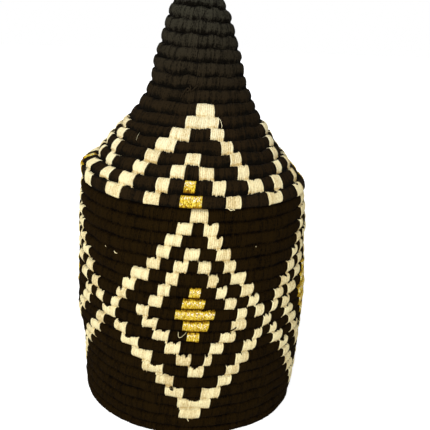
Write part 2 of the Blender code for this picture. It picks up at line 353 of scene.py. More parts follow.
@dataclass(frozen=True)
class LurexFinish:
    """Twisted metallic foil thread: small facets that each catch the light their own way."""

    kind: YarnKind = YarnKind.GOLD
    tones: tuple[tuple[float, Colour], ...] = (
        (0.0, (0.16, 0.070, 0.003)),
        (0.25, (0.46, 0.26, 0.012)),
        (0.50, (0.74, 0.49, 0.026)),
        (0.80, (0.88, 0.72, 0.080)),
        (1.0, (0.93, 0.87, 0.20)),
    )
    facets: tuple[float, float, float] = (3.0, 13.0, 1.0)
    twist: tuple[float, float, float] = (0.0, 0.0, 0.12)
    chance: float = 0.6
    flake: float = 0.84
    least: float = 0.09
    # A painted highlight: its place across the row, its spread and its strength.
    gleam_at: float = 0.33
    gleam_over: float = 0.17
    gleam: float = 0.34
    # Painted shade at the joints and in the valleys between wraps.
    joint: float = 0.75
    joint_width: float = 0.24
    valley: float = 0.14
    roughness: float = 0.50
    rougher: float = 0.2
    specular: float = 0.06
    relief: float = 0.00008

    def material(self) -> bpy.types.Material:
        """Builds the foil's material from cells on the thread's own UV map.

        The tone is each facet's chance value, plus a painted highlight near the row's shoulder that is a
        share of another one, less painted shade at the joint and in the valley between wraps.

        Returns:
            The material.
        """
        nodes = Nodes(bpy.data.materials.new(self.kind.label))
        place, across, along = nodes.thread()
        drawn = nodes.add("Mapping", {"Vector": place, "Scale": self.facets, "Rotation": self.twist})
        cells = nodes.add("TexVoronoi", {"Vector": drawn.outputs[0], "Scale": 1.0, "Randomness": self.chance})
        flake = nodes.add("SeparateColor", {0: cells.outputs["Color"]})
        # A painted highlight near the row's shoulder.
        off = nodes.maths("MULTIPLY", nodes.maths("SUBTRACT", along, self.gleam_at), 1 / self.gleam_over)
        gleam = nodes.maths("EXPONENT", nodes.maths("MULTIPLY", nodes.maths("MULTIPLY", off, off), -1.0))
        tone = nodes.maths("MULTIPLY_ADD", flake.outputs[0], self.flake, self.least)
        tone = nodes.maths("MULTIPLY_ADD", nodes.maths("MULTIPLY", gleam, flake.outputs[1]), self.gleam, tone)
        # Painted shade at the joint and in the valley between wraps.
        tone = nodes.maths("MULTIPLY_ADD", nodes.joint(along, self.joint_width), -self.joint, tone)
        tone = nodes.maths("MULTIPLY_ADD", nodes.valley(across), -self.valley, tone)
        ramp = nodes.add("ValToRGB", {0: tone})
        steps = ramp.color_ramp.elements
        for number, (place_on, tint) in enumerate(self.tones):
            step = steps[0] if number == 0 else steps.new(place_on)
            step.position = place_on
            step.color = (*tint, 1.0)
        steps.remove(steps[len(steps) - 1])
        bump = nodes.add("Bump", {"Strength": 1.0, "Distance": self.relief, "Height": flake.outputs[2]})
        rough = nodes.maths("MULTIPLY_ADD", flake.outputs[1], self.rougher, self.roughness)
        shader = nodes.add(
            "BsdfPrincipled",
            {
                "Base Color": ramp.outputs[0],
                "Roughness": rough,
                "Specular IOR Level": self.specular,
                "Normal": bump.outputs[0],
            },
        )
        return nodes.finish(shader.outputs[0])


@dataclass(frozen=True)
class FloorFinish:
    """A pale matt ground that reads white to the camera and still takes the basket's shadow."""

    colour: Colour = (0.86, 0.86, 0.86)
    near_lift: float = 0.60
    far_lift: float = 0.95
    near: float = 0.15
    far: float = 1.2

    def material(self) -> bpy.types.Material:
        """Builds the ground's material, whose lift for the camera grows with the distance from the middle.

        Returns:
            The material.
        """
        nodes = Nodes(bpy.data.materials.new("pale_ground"))
        matt = nodes.add("BsdfDiffuse", {"Color": (*self.colour, 1.0), "Roughness": 1.0}).outputs[0]
        where = nodes.add("TexCoord").outputs["Object"]
        away = nodes.add("VectorMath", {0: where}, operation="LENGTH").outputs["Value"]
        lift = nodes.add(
            "MapRange", {0: away, 1: self.near, 2: self.far, 3: self.near_lift, 4: self.far_lift}
        ).outputs[0]
        path = nodes.add("LightPath")
        seen = nodes.maths("MULTIPLY", path.outputs["Is Camera Ray"], lift)
        glow = nodes.add("Emission", {"Color": WHITE_LIGHT, "Strength": seen}).outputs[0]
        both = nodes.add("AddShader", {0: matt, 1: glow}).outputs[0]
        return nodes.finish(both)


class SectionLine:
    """A turned outline that runs down its outer side, read by the distance along it."""

    LEAST_RADIUS = 0.0002

    def __init__(self, radii: Array, heights: Array, zero_height: float | None = None) -> None:
        """Measures the line.

        Args:
            radii: Radii of its points, in the order of travel.
            heights: Heights of the same points.
            zero_height: The height at which distances are counted from, or None for the first point.
        """
        steps = np.hypot(np.diff(radii), np.diff(heights))
        self.radii = radii
        self.heights = heights
        self.along = np.concatenate([[0.0], np.cumsum(steps)])
        if zero_height is not None:
            self.along -= np.interp(-zero_height, -heights, self.along)
        slope_r = np.gradient(radii, self.along)
        slope_z = np.gradient(heights, self.along)
        size = np.hypot(slope_r, slope_z)
        self.out_r = -slope_z / size
        self.out_z = slope_r / size

    @property
    def end(self) -> float:
        """Distance of the line's last point."""
        return float(self.along[-1])

    def distance(self, height: float) -> float:
        """Distance at which the line first passes a height, where it only descends."""
        return float(np.interp(-height, -self.heights, self.along))

    def radius(self, distance: Array) -> Array:
        """Radius of the crests at a distance."""
        return np.interp(distance, self.along, self.radii)

    def at(self, distance: Array, depth: Array) -> tuple[Array, Array]:
        """A point sunk by depth along the inward normal.

        Args:
            distance: Distances along the line.
            depth: How far below the crests, negative outwards.

        Returns:
            The radius and the height of each point.
        """
        distance = np.clip(distance, self.along[0], self.along[-1])
        lines = (self.radii, self.out_r, self.heights, self.out_z)
        radius, out_r, height, out_z = (np.interp(distance, self.along, line) for line in lines)
        return np.maximum(radius - depth * out_r, self.LEAST_RADIUS), height - depth * out_z


@dataclass
class Wander:
    """Slow unevenness of hand work: a sum of a few sine waves round and down the piece, with set phases."""

    reach: float
    seed: int
    waves: int = 9
    longest_round: int = 13
    down_scale: float = 260.0

    def __post_init__(self) -> None:
        """Draws the waves' directions and phases."""
        draw = np.random.default_rng(self.seed)
        self.round = draw.integers(1, self.longest_round, self.waves)
        self.down = draw.uniform(-1.0, 1.0, self.waves) * self.down_scale
        self.phase = draw.uniform(0.0, FULL_TURN, self.waves)
        self.share = draw.uniform(0.4, 1.0, self.waves) * self.reach / math.sqrt(self.waves)

    def at(self, azimuth: Array, distance: Array) -> Array:
        """The sum of the waves, each its share times the sine of its turns round and down plus its phase.

        Args:
            azimuth: Azimuths of the places.
            distance: Their distances down the line.

        Returns:
            The sum at each place.
        """
        total = np.zeros(np.broadcast(azimuth, distance).shape)
        for around, down, phase, share in zip(self.round, self.down, self.phase, self.share):
            total = total + share * np.sin(around * azimuth + down * distance + phase)
        return total


@dataclass(frozen=True)
class Patch:
    """A run of wraps in a coloured yarn on one row, from low to high in turns of its coil."""

    low: float
    high: float
    kind: YarnKind
    node: str
    notch: NotchStyle
    jitter: float


@dataclass
class MeshStore:
    """Gathers grids that are closed round their second index into one mesh."""

    points: list[Array] = field(default_factory=list)
    corners: list[Array] = field(default_factory=list)
    uvs: list[Array] = field(default_factory=list)
    shades: list[Array] = field(default_factory=list)
    sizes: list[Array] = field(default_factory=list)
    count: int = 0

    def add_tube(self, points: Array, across: Array, share: Array, shade: Array) -> None:
        """Adds a closed tube: rings of points joined by quads, with a fan over each end.

        Args:
            points: Ring by ring, an array of rings x points x 3.
            across: The thread coordinate across the wraps, one for each ring.
            share: The thread coordinate along the wrap, one for each point of each ring.
            shade: The tint from 0 to 1 of each ring.
        """
        rings, sides = points.shape[:2]
        index = self.count + np.arange(rings * sides).reshape(rings, sides)
        beyond = np.roll(index, -1, axis=1)
        quads = np.stack([index[:-1], beyond[:-1], beyond[1:], index[1:]], axis=-1).reshape(-1, 4)
        here = np.stack([np.broadcast_to(across[:, None], share.shape), share], axis=-1)
        there = np.roll(here, -1, axis=1)
        quad_uv = np.stack([here[:-1], there[:-1], there[1:], here[1:]], axis=2).reshape(-1, 2)
        low_end, high_end = self.count + rings * sides, self.count + rings * sides + 1
        fan_low = np.stack([np.full(sides, low_end), beyond[0], index[0]], axis=-1)
        fan_high = np.stack([np.full(sides, high_end), index[-1], beyond[-1]], axis=-1)
        fans = np.concatenate([fan_low, fan_high])
        self.points.append(np.concatenate([points.reshape(-1, 3), points[[0, -1]].mean(axis=1)]))
        self.corners.append(np.concatenate([quads.ravel(), fans.ravel()]))
        self.sizes.append(np.concatenate([np.full(len(quads), 4), np.full(len(fans), 3)]))
        self.uvs.append(np.concatenate([quad_uv, np.zeros((fans.size, 2))]))
        self.shades.append(np.concatenate([np.repeat(shade, sides), shade[[0, -1]]]))
        self.count += rings * sides + 2

    def build(self, name: str, material: bpy.types.Material) -> bpy.types.Object:
        """Makes the mesh and its object.

        Args:
            name: The piece's name.
            material: Its one material.

        Returns:
            The object, at the origin.
        """
        corners = np.concatenate(self.corners)
        sizes = np.concatenate(self.sizes)
        starts = np.concatenate([[0], np.cumsum(sizes)[:-1]])
        mesh = bpy.data.meshes.new(name)
        mesh.vertices.add(self.count)
        mesh.vertices.foreach_set("co", np.concatenate(self.points).astype(np.float32).ravel())
        mesh.loops.add(len(corners))
        mesh.loops.foreach_set("vertex_index", corners.astype(np.int32))
        mesh.polygons.add(len(sizes))
        mesh.polygons.foreach_set("loop_start", starts.astype(np.int32))
        layer = mesh.uv_layers.new(name="thread", do_init=False)
        layer.uv.foreach_set("vector", np.concatenate(self.uvs).astype(np.float32).ravel())
        shade = mesh.attributes.new("shade", "FLOAT", "POINT")
        shade.data.foreach_set("value", np.concatenate(self.shades).astype(np.float32))
        mesh.polygons.foreach_set("use_smooth", np.ones(len(sizes), dtype=bool))
        mesh.update(calc_edges=True)
        mesh.materials.append(material)
        return linked(name, mesh)


def bulge(share: Array, groove: float) -> Array:
    """Depth of a row's surface below its crest.

    Below the row's middle the depth is a soft power of the distance from it, plus a steep one for the
    crease. Above the middle it drops sooner, into the pit that the stitches of the row above dive into.

    Args:
        share: Place across the row, 0 at its upper joint and 1 at its lower one.
        groove: Depth at the joints.

    Returns:
        The depth.
    """
    off = 2 * share - 1
    away = np.abs(off)
    soft, crease = 0.42 * away**2.2, 0.58 * away**7
    round_top, pit = 0.36 * away**2, 0.64 * smoothstep((away - 0.60) / 0.32)
    return groove * np.where(off > 0, soft + crease, round_top + pit)


@dataclass(frozen=True)
class Spot:
    """One local shift or dent, that fades as a bell curve round its middle."""

    azimuth: float
    distance: float
    reach: float
    round: float = 400.0
    down: float = 0.03

    def at(self, azimuth: Array, distance: Array) -> Array:
        """The reach times a bell curve of the angle and of the distance from the spot.

        Args:
            azimuth: Azimuths of the places.
            distance: Their distances down the line.

        Returns:
            The shift or dent at each place.
        """
        turned = np.degrees(azimuth) - self.azimuth
        turned = (turned + 180.0) % 360.0 - 180.0
        down = (distance - self.distance) / self.down
        return self.reach * np.exp(-((turned / self.round) ** 2) - down**2)


def smooth_path(knots: Array, count: int) -> Array:
    """Points on the Catmull-Rom curve through some knots: cubic pieces whose slope at a knot joins its sides.

    Args:
        knots: The points to pass through, one in each line.
        count: The number of points to return.

    Returns:
        The points.
    """
    padded = np.concatenate([[2 * knots[0] - knots[1]], knots, [2 * knots[-1] - knots[-2]]])
    place = np.linspace(0, len(knots) - 1, count)
    first = np.minimum(place.astype(int), len(knots) - 2)
    part = (place - first)[:, None]
    a, b, c, d = (padded[first + step] for step in range(4))
    square, cube = (2 * a - 5 * b + 4 * c - d) * part**2, (3 * b - a - 3 * c + d) * part**3
    return 0.5 * (2 * b + (c - a) * part + square + cube)


@dataclass
class Coil:
    """One climbing coil along a section line, with the coloured patches that lie on it."""

    line: SectionLine
    pitch: float
    first_turn: float
    last_turn: float
    start_taper: float = 0.0
    end_taper: float = 0.0
    thickness: float = 0.0078
    groove: float = 0.0025
    wrap: float = 0.00132
    rib: float = 0.00032
    lean: float = 0.13
    climbs: bool = True
    patches: list[Patch] = field(default_factory=list)
    shifts: list = field(default_factory=list)
    dents: list = field(default_factory=list)
    leans: list = field(default_factory=list)
    calm_near: tuple[float, ...] = ()
    calm_over: float = 0.012
    seed: int = 1
    tooth: float = 1.0
    sink: float = 0.00026
    tightness: Wander = field(default_factory=lambda: Wander(0.60, seed=77, waves=14, longest_round=31))
    sway: Wander = field(default_factory=lambda: Wander(0.09, seed=91, waves=14, longest_round=53))
    seat_top: bool = False
    seat_bottom: bool = False

    # Places across a row's face, from its upper joint to just above its lower one.
    OUTER = (0.0, 0.06, 0.105, 0.15, 0.205, 0.30, 0.42, 0.56, 0.70, 0.82, 0.92)
    # Places across its back, whose depths are shares of its thickness less shares of the joint there, and
    # that joint's depth in grooves.
    BACK = (1.02, 1.0, 0.84, 0.5, 0.16, 0.0, -0.03, -0.03)
    BACK_THICK = (0.5, 1.0, 1.0, 1.0, 1.0, 1.0, 0.6, 0.35)
    BACK_GROOVE = (0.0, 1.0, 0.25, 0.0, 0.25, 1.0, 0.0, 0.0)
    BACK_JOINT = 0.8
    # How far down a row its threads go on leaning, and the least radius that they lean on.
    LEAN_TO, LEAN_RADIUS = 1.3, 0.004
    # How near a patch counts for the cover of some turns, and for the stitches beside it, in turns.
    NEAR, BESIDE = 0.01, 0.0005
    # Depths of the points under the last row's free edge, in grooves.
    EDGE_DEPTHS = (1.0, 1.3, 1.6, 1.9)
    # The least share of its height that a tapered end keeps.
    LEAST_SHARE = 0.02
    # How much the joints follow the tightness, and their least and greatest share of the groove.
    TIGHTNESS, GROOVE_LIMITS = 0.9, (0.50, 1.5)
    # Depths of the bridge to a stitch's foot, of the foot half way, and at its tip, in grooves.
    BRIDGE, FOOT_HALF, FOOT_TIP = 0.56, 0.60, 0.72
    # How far a foot stays above the row below, dives into it at its tip, and drops there at the least.
    FOOT_GAP, DIVE, DROP = 0.0003, 0.0010, 0.0006
    # How far a foot is raised over a coloured patch.
    OVER_PATCH = 0.00050
    # How far a free edge stays from the other coil's, at its top and at its bottom.
    TOP_GAP, BOTTOM_GAP = 0.0001, 0.0003
    # The unevenness of the wraps' crests, and the chance and lift of a loose one.
    UNEVEN, LOOSE_CHANCE, LOOSE_LIFT = 0.00007, 0.06, 0.00018
    # The ranges of short and long stitches as shares of a row, and the chance of a long one.
    SHORT, LONG, LONG_CHANCE = (0.02, 0.11), (0.14, 0.22), 0.30
    # Their slow beat along the coil: its least and its extra share, and its step from wrap to wrap.
    BEAT_LEAST, BEAT_EXTRA, BEAT_STEP = 0.55, 0.65, 1.7
    # What the gaps between two stitches keep of their reach, over black and over a patch.
    GAP_REACH, PATCH_GAP_REACH = 0.45, 0.8
    # Over a patch: the least reach, and what its lean and the usual reach add to it.
    NOTCH_LEAST, NOTCH_LEAN, NOTCH_USUAL = 0.03, 0.04, 0.30
    # What is left of it at the patch's corners, and the part of the patch over which it grows back.
    CORNER_SHARE, CORNER = 0.6, 0.10

    # Coloured patches: how far they stand proud, and swell half way across the row.
    PROUD, PUFF = 0.0002, 0.00030
    # The unevenness of their crests, how far their end wraps roll down, and how deep the two end rings lie.
    PATCH_UNEVEN, ROLL, END_RINGS = 0.00008, 0.00016, (0.0007, 0.00016)
    # Where foil starts across the row, and how much of it the foil takes.
    FOIL_TOP, FOIL_TALL = 0.07, 0.88
    # Depths of their feet half way and at the tip, in grooves, and how far these are raised, on black and
    # more on another patch.
    PATCH_HALF, PATCH_TIP, PATCH_RAISE, PATCH_MORE = 0.55, 0.66, 0.00012, 0.00022
    # The depth of their upper edge below the joint, and the places and depths of their back.
    PATCH_TUCK, PATCH_BACK, PATCH_BACK_DEPTH = 0.0012, (0.9, 0.5, 0.1), (0.0034, 0.0026, 0.0034)
    # How far their ends bow in or out along the coil.
    BOW = (-0.00018, 0.00050)
    # The fewest wraps of one turn and of a patch.
    LEAST_WRAPS, LEAST_PATCH_WRAPS = 8, 3
    # The second ring of a patch's end and the wraps over which it rolls down, counted in wraps.
    SECOND_RING, ROLL_OVER = 0.06, 0.8
    # The reach of a patch's feet, those of its two end wraps, and those over a patch on the row below.
    PATCH_FEET, END_FEET, COVERED_FEET = (0.0, 0.09), (0.02, 0.10), 0.15
    # The depth of a patch's bridge, and how much less it is over another patch, in grooves.
    PATCH_BRIDGE, COVERED_BRIDGE = 0.5, 0.12
    # How far a patch slants, and how its shade differs from patch to patch and from wrap to wrap.
    SLANT, PATCH_SHADE, WRAP_SHADE = 0.05, 0.3, 0.4

    # Loose threads: their sides, rings from knot to knot, and rings and least width of their tapered ends.
    SIDES, KNOT_RINGS, TAPER_RINGS, TAPER_LEAST = 6, 8, 3.0, 0.3
    # The stretch of the thread coordinates that they show, along and across.
    THREAD_ALONG, THREAD_ACROSS = (0.25, 0.75), (0.3, 0.7)

    def groove_at(self, turn: Array) -> Array:
        """Depth of the joint above a row, which hand work leaves tight here and open there.

        Args:
            turn: Turns of the coil.

        Returns:
            The usual groove times one more or less, as the tightness wanders, between two limits.
        """
        azimuth = FULL_TURN * turn
        distance = self.pitch * turn
        share = 1.0 + self.TIGHTNESS * self.tightness.at(azimuth, distance)
        return self.groove * np.clip(share, *self.GROOVE_LIMITS)

    def height_share(self, turn: Array) -> Array:
        """Share of its full height that the row has, which falls to almost none at a tapered end.

        Args:
            turn: Turns of the coil.

        Returns:
            The share, a soft step over the taper.
        """
        share = np.ones_like(turn)
        if self.start_taper:
            share = share * smoothstep((turn - self.first_turn) / self.start_taper)
        if self.end_taper:
            share = share * smoothstep((self.last_turn - turn) / self.end_taper)
        return np.maximum(share, self.LEAST_SHARE)

    def cover(self, turn: Array, edge: float = 0.0011) -> Array:
        """How far each turn lies under a coloured patch, from 0 to 1, with soft edges.

        Args:
            turn: Turns of the coil.
            edge: Width of the soft edge, in turns.

        Returns:
            The cover, which is 1 inside a patch.
        """
        first, last = turn.min() - self.NEAR, turn.max() + self.NEAR
        near = [patch for patch in self.patches if patch.high > first and patch.low < last]
        if not near:
            return np.zeros_like(turn)
        low = np.array([patch.low for patch in near])
        high = np.array([patch.high for patch in near])
        inside = np.minimum(turn[:, None] - low, high - turn[:, None]) / edge
        return np.clip(inside.max(axis=1), 0.0, 1.0)

    def feet(self, turn: Array, wraps: Array, draw: np.random.Generator) -> Array:
        """How far each stitch's foot reaches down the row below, as a share of a row.

        Args:
            turn: The turn of each column.
            wraps: The wrap that each column belongs to.
            draw: The source of the unevenness.

        Returns:
            The reach of each column.
        """
        count = int(wraps.max()) + 2
        short = draw.uniform(*self.SHORT, count)
        long = draw.uniform(*self.LONG, count)
        reach = np.where(draw.random(count) < self.LONG_CHANCE, long, short)
        beat = 0.5 + 0.5 * np.sin(np.arange(count) * self.BEAT_STEP + draw.uniform(0, 6))
        reach = (reach * (self.BEAT_LEAST + self.BEAT_EXTRA * beat))[wraps]
        gap = np.full(len(turn), self.GAP_REACH)
        below = turn + 1.0
        for patch in self.patches:
            inside = (below > patch.low - self.BESIDE) & (below < patch.high + self.BESIDE)
            if not inside.any():
                continue
            x = (below[inside] - patch.low) / (patch.high - patch.low)
            reach[inside] = self.notch(x, patch, reach[inside])
            gap[inside] = self.PATCH_GAP_REACH
        between = np.arange(len(turn)) % 2 == 0
        return self.tooth * np.where(between, gap * np.minimum(reach, np.roll(reach, 1)), reach)

    def notch(self, x: Array, patch: Patch, usual: Array) -> Array:
        """Reach of the stitches over the top of a coloured patch, which leaves its two corners nearly bare.

        Each bite is a V: its depth times what is left of 1 after the distance from its middle in widths.

        Args:
            x: Place along the patch from 0 to 1.
            patch: The patch below.
            usual: The reach that the stitches would have over black.

        Returns:
            The reach: a thin cover with one deep bite, two uneven ones, or the usual small teeth.
        """
        lean = patch.jitter
        reach = self.NOTCH_LEAST + self.NOTCH_LEAN * abs(lean) + self.NOTCH_USUAL * usual
        for middle, leaning, width, depth in patch.notch.value:
            off = np.abs(x - (middle + leaning * lean))
            reach = reach + depth * np.clip(1 - off / width, 0.0, 1.0)
        return reach * np.clip(self.CORNER_SHARE + np.minimum(x, 1 - x) / self.CORNER, 0.0, 1.0)

    def rough(self, azimuth: Array, distance: Array) -> tuple[Array, Array]:
        """The hand-made unevenness at each point, calmed near the edges where pieces meet, bar its leans.

        Args:
            azimuth: Azimuths of the points.
            distance: Their distances down the line.

        Returns:
            The shift down the line, and the dent.
        """
        calm = np.ones(np.broadcast(azimuth, distance).shape)
        for place in self.calm_near:
            calm = calm * np.clip(np.abs(distance - place) / self.calm_over, 0.0, 1.0)
        shift, dent, lean = (
            sum((spot.at(azimuth, distance) for spot in spots), np.zeros_like(calm))
            for spots in (self.shifts, self.dents, self.leans)
        )
        return shift * calm, dent * calm + lean

    def place(self, turn: Array, share: Array, depth: Array) -> Array:
        """Points of the coil.

        The distance down the line is the row's upper edge plus the share of its pitch, and the azimuth leans
        back a little as a thread crosses the row, here more and there less.

        Args:
            turn: The turn of each ring of points, as a column.
            share: Place across the row, above 1 on the row below.
            depth: Depth below the crests.

        Returns:
            The points, rings x points x 3.
        """
        tall = self.height_share(turn[:, 0])[:, None]
        top = self.pitch * turn if self.climbs else np.zeros_like(turn)
        if self.start_taper:
            distance = top + self.pitch * (1 - tall) + self.pitch * share * tall
        else:
            distance = top + self.pitch * share * tall
        radius = np.maximum(self.line.radius(distance), self.LEAN_RADIUS)
        lean = self.lean + self.sway.at(FULL_TURN * turn, top)
        azimuth = FULL_TURN * turn - lean * (np.clip(share, 0, self.LEAN_TO) - 0.5) * self.pitch / radius
        shift, dent = self.rough(azimuth, distance)
        r, z = self.line.at(distance + shift, depth + dent)
        z = self.seated(turn, tall, z)
        return np.stack([r * np.sin(azimuth), -r * np.cos(azimuth), z], axis=-1)

    def seated(self, turn: Array, tall: Array, height: Array) -> Array:
        """Keeps points off the other coil along the free edge of the first or last row, and off the ground.

        Args:
            turn: The turn of each ring.
            tall: The share of its full height that the row has there.
            height: The heights before that.

        Returns:
            The heights.
        """
        if self.seat_top:
            edge = self.line.at(self.pitch * (turn + 1 - tall), 0.0 * turn)[1]
            free = turn < self.first_turn + 1.0
            height = np.where(free, np.minimum(height, edge - self.TOP_GAP), height)
        if self.seat_bottom:
            edge = self.line.at(self.pitch * (turn + tall), 0.0 * turn)[1]
            free = turn > self.last_turn - 1.0
            height = np.where(free, np.maximum(height, edge + self.BOTTOM_GAP), height)
        return np.maximum(height, 0.0)

    def ring(self, turn: Array, reach: Array, rib: Array, over: Array, under: Array) -> tuple[Array, Array]:
        """Shares and depths of the points round the bundle, from the upper joint down outside and up inside.

        Args:
            turn: The turn of each ring.
            reach: How far its stitch's foot reaches down the row below.
            rib: How far the wrap's surface lies below its own crest there.
            over: How far the foot is raised over a coloured patch on the row below.
            under: How far the row is sunk beneath its own coloured patch.

        Returns:
            The shares and the depths, rings x points.
        """
        count = len(turn)
        last_row = self.seat_bottom & (turn > self.last_turn - 1.0)
        reach = np.where(last_row, 0.0, reach * self.height_share(turn + 1.0))
        outer = np.array(self.OUTER)
        shares = in_rings(self.OUTER, count)
        upper, lower = self.groove_at(turn), self.groove_at(turn + 1.0)
        own = np.where(outer < 0.5, upper[:, None], lower[:, None])
        depths = bulge(shares, own) + (rib + under)[:, None]
        half = self.foot_depth(0.5 * reach, lower, over, self.FOOT_HALF) + under
        foot = self.foot_depth(reach, lower, over, self.FOOT_TIP) + under
        bridge = self.BRIDGE * lower + 0.5 * rib + under
        dive = bulge(reach, lower) + self.DIVE
        below_share = self.foot_shares(reach)
        below_depth = np.stack([bridge, half, foot, np.maximum(dive, foot + self.DROP)], axis=1)
        below_depth = np.where(last_row[:, None], np.array(self.EDGE_DEPTHS) * self.groove, below_depth)
        groove = self.BACK_JOINT * self.groove
        back = self.thickness * np.array(self.BACK_THICK) - groove * np.array(self.BACK_GROOVE)
        return (
            np.concatenate([shares, below_share, in_rings(self.BACK, count)], axis=1),
            np.concatenate([depths, below_depth, in_rings(back, count)], axis=1),
        )

    @staticmethod
    def foot_shares(reach: Array) -> Array:
        """Places of the bridge to a foot, the foot half way, its tip, and the dive beneath it."""
        return np.stack([1 + 0 * reach, 1 + 0.5 * reach, 1 + reach, 1.01 + reach], axis=1)

    def foot_depth(self, reach: Array, groove: Array, over: Array, share: float) -> Array:
        """Depth of a stitch's foot: deep in the joint, but never under the row below it.

        Args:
            reach: How far down the row below it lies.
            groove: The depth of the joint.
            over: How far a coloured patch there stands proud.
            share: Its depth in an open joint, as a share of the groove.

        Returns:
            The depth.
        """
        return np.minimum(share * groove, bulge(reach, groove) - self.FOOT_GAP - over)

    @staticmethod
    def uneven_wraps(wraps: int, phase: Array, draw: np.random.Generator) -> Array:
        """Share of the whole stretch at each phase, with wraps that take between 3/4 and 5/4 of their due.

        Args:
            wraps: The number of wraps.
            phase: Places counted in wraps.
            draw: The source of the unevenness.

        Returns:
            The shares, from 0 to 1.
        """
        edges = np.concatenate([[0.0], np.cumsum(draw.uniform(0.75, 1.25, wraps))])
        return np.interp(phase, np.arange(wraps + 1), edges / edges[-1])

    def wind(self, store: MeshStore, from_turn: float, to_turn: float) -> None:
        """Winds the bundle from one turn to another, a turn at a time, two columns of points to a wrap.

        Args:
            store: Where the tubes go.
            from_turn: The first turn.
            to_turn: The last turn.
        """
        start = from_turn
        while start < to_turn - 1e-6:
            stop = min(start + 1.0, to_turn)
            middle = self.pitch * ((start + stop) / 2 + 0.5) if self.climbs else self.pitch / 2
            length = FULL_TURN * float(self.line.radius(middle)) * (stop - start)
            wraps = max(self.LEAST_WRAPS, round(length / self.wrap))
            columns = 2 * wraps + 1
            draw = np.random.default_rng([self.seed, int(1000 + 10 * start)])
            turn = start + (stop - start) * self.uneven_wraps(wraps, np.arange(columns) / 2.0, draw)
            owner = np.arange(columns) // 2
            crest = np.arange(columns) % 2 == 1
            reach = self.feet(turn, owner, draw)
            loose = np.where(draw.random(wraps + 1) < self.LOOSE_CHANCE, -self.LOOSE_LIFT, 0.0)
            uneven = (draw.uniform(-self.UNEVEN, self.UNEVEN, wraps + 1) + loose)[owner]
            rib = uneven + np.where(crest, 0.0, self.rib)
            own = self.cover(turn)
            over = self.OVER_PATCH * self.cover(turn + 1.0) * (1 - own)
            shares, depths = self.ring(turn, reach, rib, over, self.sink * own)
            points = self.place(turn[:, None] + np.zeros_like(shares), shares, depths)
            shade = 0.5 + 0.5 * draw.uniform(-1, 1, wraps + 1)[owner]
            store.add_tube(points, np.arange(columns) / 2.0, shares, shade)
            start = stop

    def strand(self, store: MeshStore, stray: Stray, row_turn: RowTurn) -> None:
        """Lays a loose thread over the coil: a thin tube with tapered ends round the curve of its path.

        Args:
            store: Where the tube goes.
            stray: The thread's thickness, and the places that it runs through.
            row_turn: A function that gives the turn of a row at the front.
        """
        thickness, path = stray
        places = np.array(path)
        row = np.floor(places[:, 1])
        turn = np.array([row_turn(number) for number in row]) + places[:, 0] / 360.0
        share = places[:, 1] - row
        knots = self.place(turn[:, None], share[:, None], -places[:, 2:] * MM)[:, 0]
        rings = self.KNOT_RINGS * len(knots)
        centre = smooth_path(knots, rings)
        ahead = np.gradient(centre, axis=0)
        ahead /= np.linalg.norm(ahead, axis=1, keepdims=True)
        outward = centre * np.array([1.0, 1.0, 0.0])
        side = np.cross(ahead, outward)
        side /= np.linalg.norm(side, axis=1, keepdims=True)
        rise = np.cross(side, ahead)
        round_it = np.linspace(FULL_TURN, 0, self.SIDES + 1)[:-1]
        from_end = np.minimum(np.arange(rings), rings - 1 - np.arange(rings))
        taper = np.clip(from_end / self.TAPER_RINGS, self.TAPER_LEAST, 1.0)
        wide = 0.5 * thickness * taper[:, None, None]
        cosine, sine = np.cos(round_it)[None, :, None], np.sin(round_it)[None, :, None]
        points = centre[:, None] + wide * (cosine * side[:, None] + sine * rise[:, None])
        share = in_rings(np.linspace(*self.THREAD_ALONG, self.SIDES), rings)
        store.add_tube(points, np.linspace(*self.THREAD_ACROSS, rings), share, np.full(rings, 0.5))

    def patch_ring(
        self, turn: Array, foot: Array, rib: Array, end: Array, roll: Array, foil: bool
    ) -> tuple[Array, Array]:
        """Shares and depths of the points round a coloured patch, in the order of ring's.

        Its surface stands proud of the row and swells half way across it, and its back lies in the row.

        Args:
            turn: The turn of each ring.
            foot: How far its stitch's foot reaches down the row below.
            rib: How far the wrap's surface lies below its own crest there.
            end: How far the ring is sunk as one of the patch's end rings.
            roll: How far it is sunk as part of an end wrap.
            foil: Whether it is foil, which leaves the edges of the row bare and has no feet.

        Returns:
            The shares and the depths, rings x points.
        """
        count = len(turn)
        sunk = rib + end + roll
        below = self.cover(turn + 1.0)
        foot = np.maximum(foot, self.COVERED_FEET * below) * (not foil)
        top, tall = (self.FOIL_TOP, self.FOIL_TALL) if foil else (0.0, 1.0)
        upper, lower = self.groove_at(turn), self.groove_at(turn + 1.0)
        outer = top + tall * np.array([-0.01, *self.OUTER])
        shares = in_rings(outer, count)
        inset = np.clip(outer, 0.0, 1.0)
        own = np.where(inset < 0.5, upper[:, None], lower[:, None])
        depths = bulge(shares.clip(0.0, 1.0), own) - self.PROUD - self.PUFF * (1 - (2 * inset - 1) ** 2)
        depths = depths + sunk[:, None]
        depths[:, 0] = upper + self.PATCH_TUCK
        over = self.PATCH_RAISE + self.PATCH_MORE * below
        bridge = lower * (self.PATCH_BRIDGE - self.COVERED_BRIDGE * below) - self.PROUD + sunk
        half = self.foot_depth(0.5 * foot, lower, over, self.PATCH_HALF) + 0.5 * rib + end
        tip = self.foot_depth(foot, lower, over, self.PATCH_TIP) + 0.5 * rib + end
        dive = np.maximum(bulge(foot, lower) + self.DIVE + end, tip + self.DROP)
        low_share = self.foot_shares(foot) - 1 + top + tall
        low_depth = np.stack([bridge, half, tip, dive], axis=1)
        return (
            np.concatenate([shares, low_share, in_rings(self.PATCH_BACK, count)], axis=1),
            np.concatenate([depths, low_depth, in_rings(self.PATCH_BACK_DEPTH, count)], axis=1),
        )

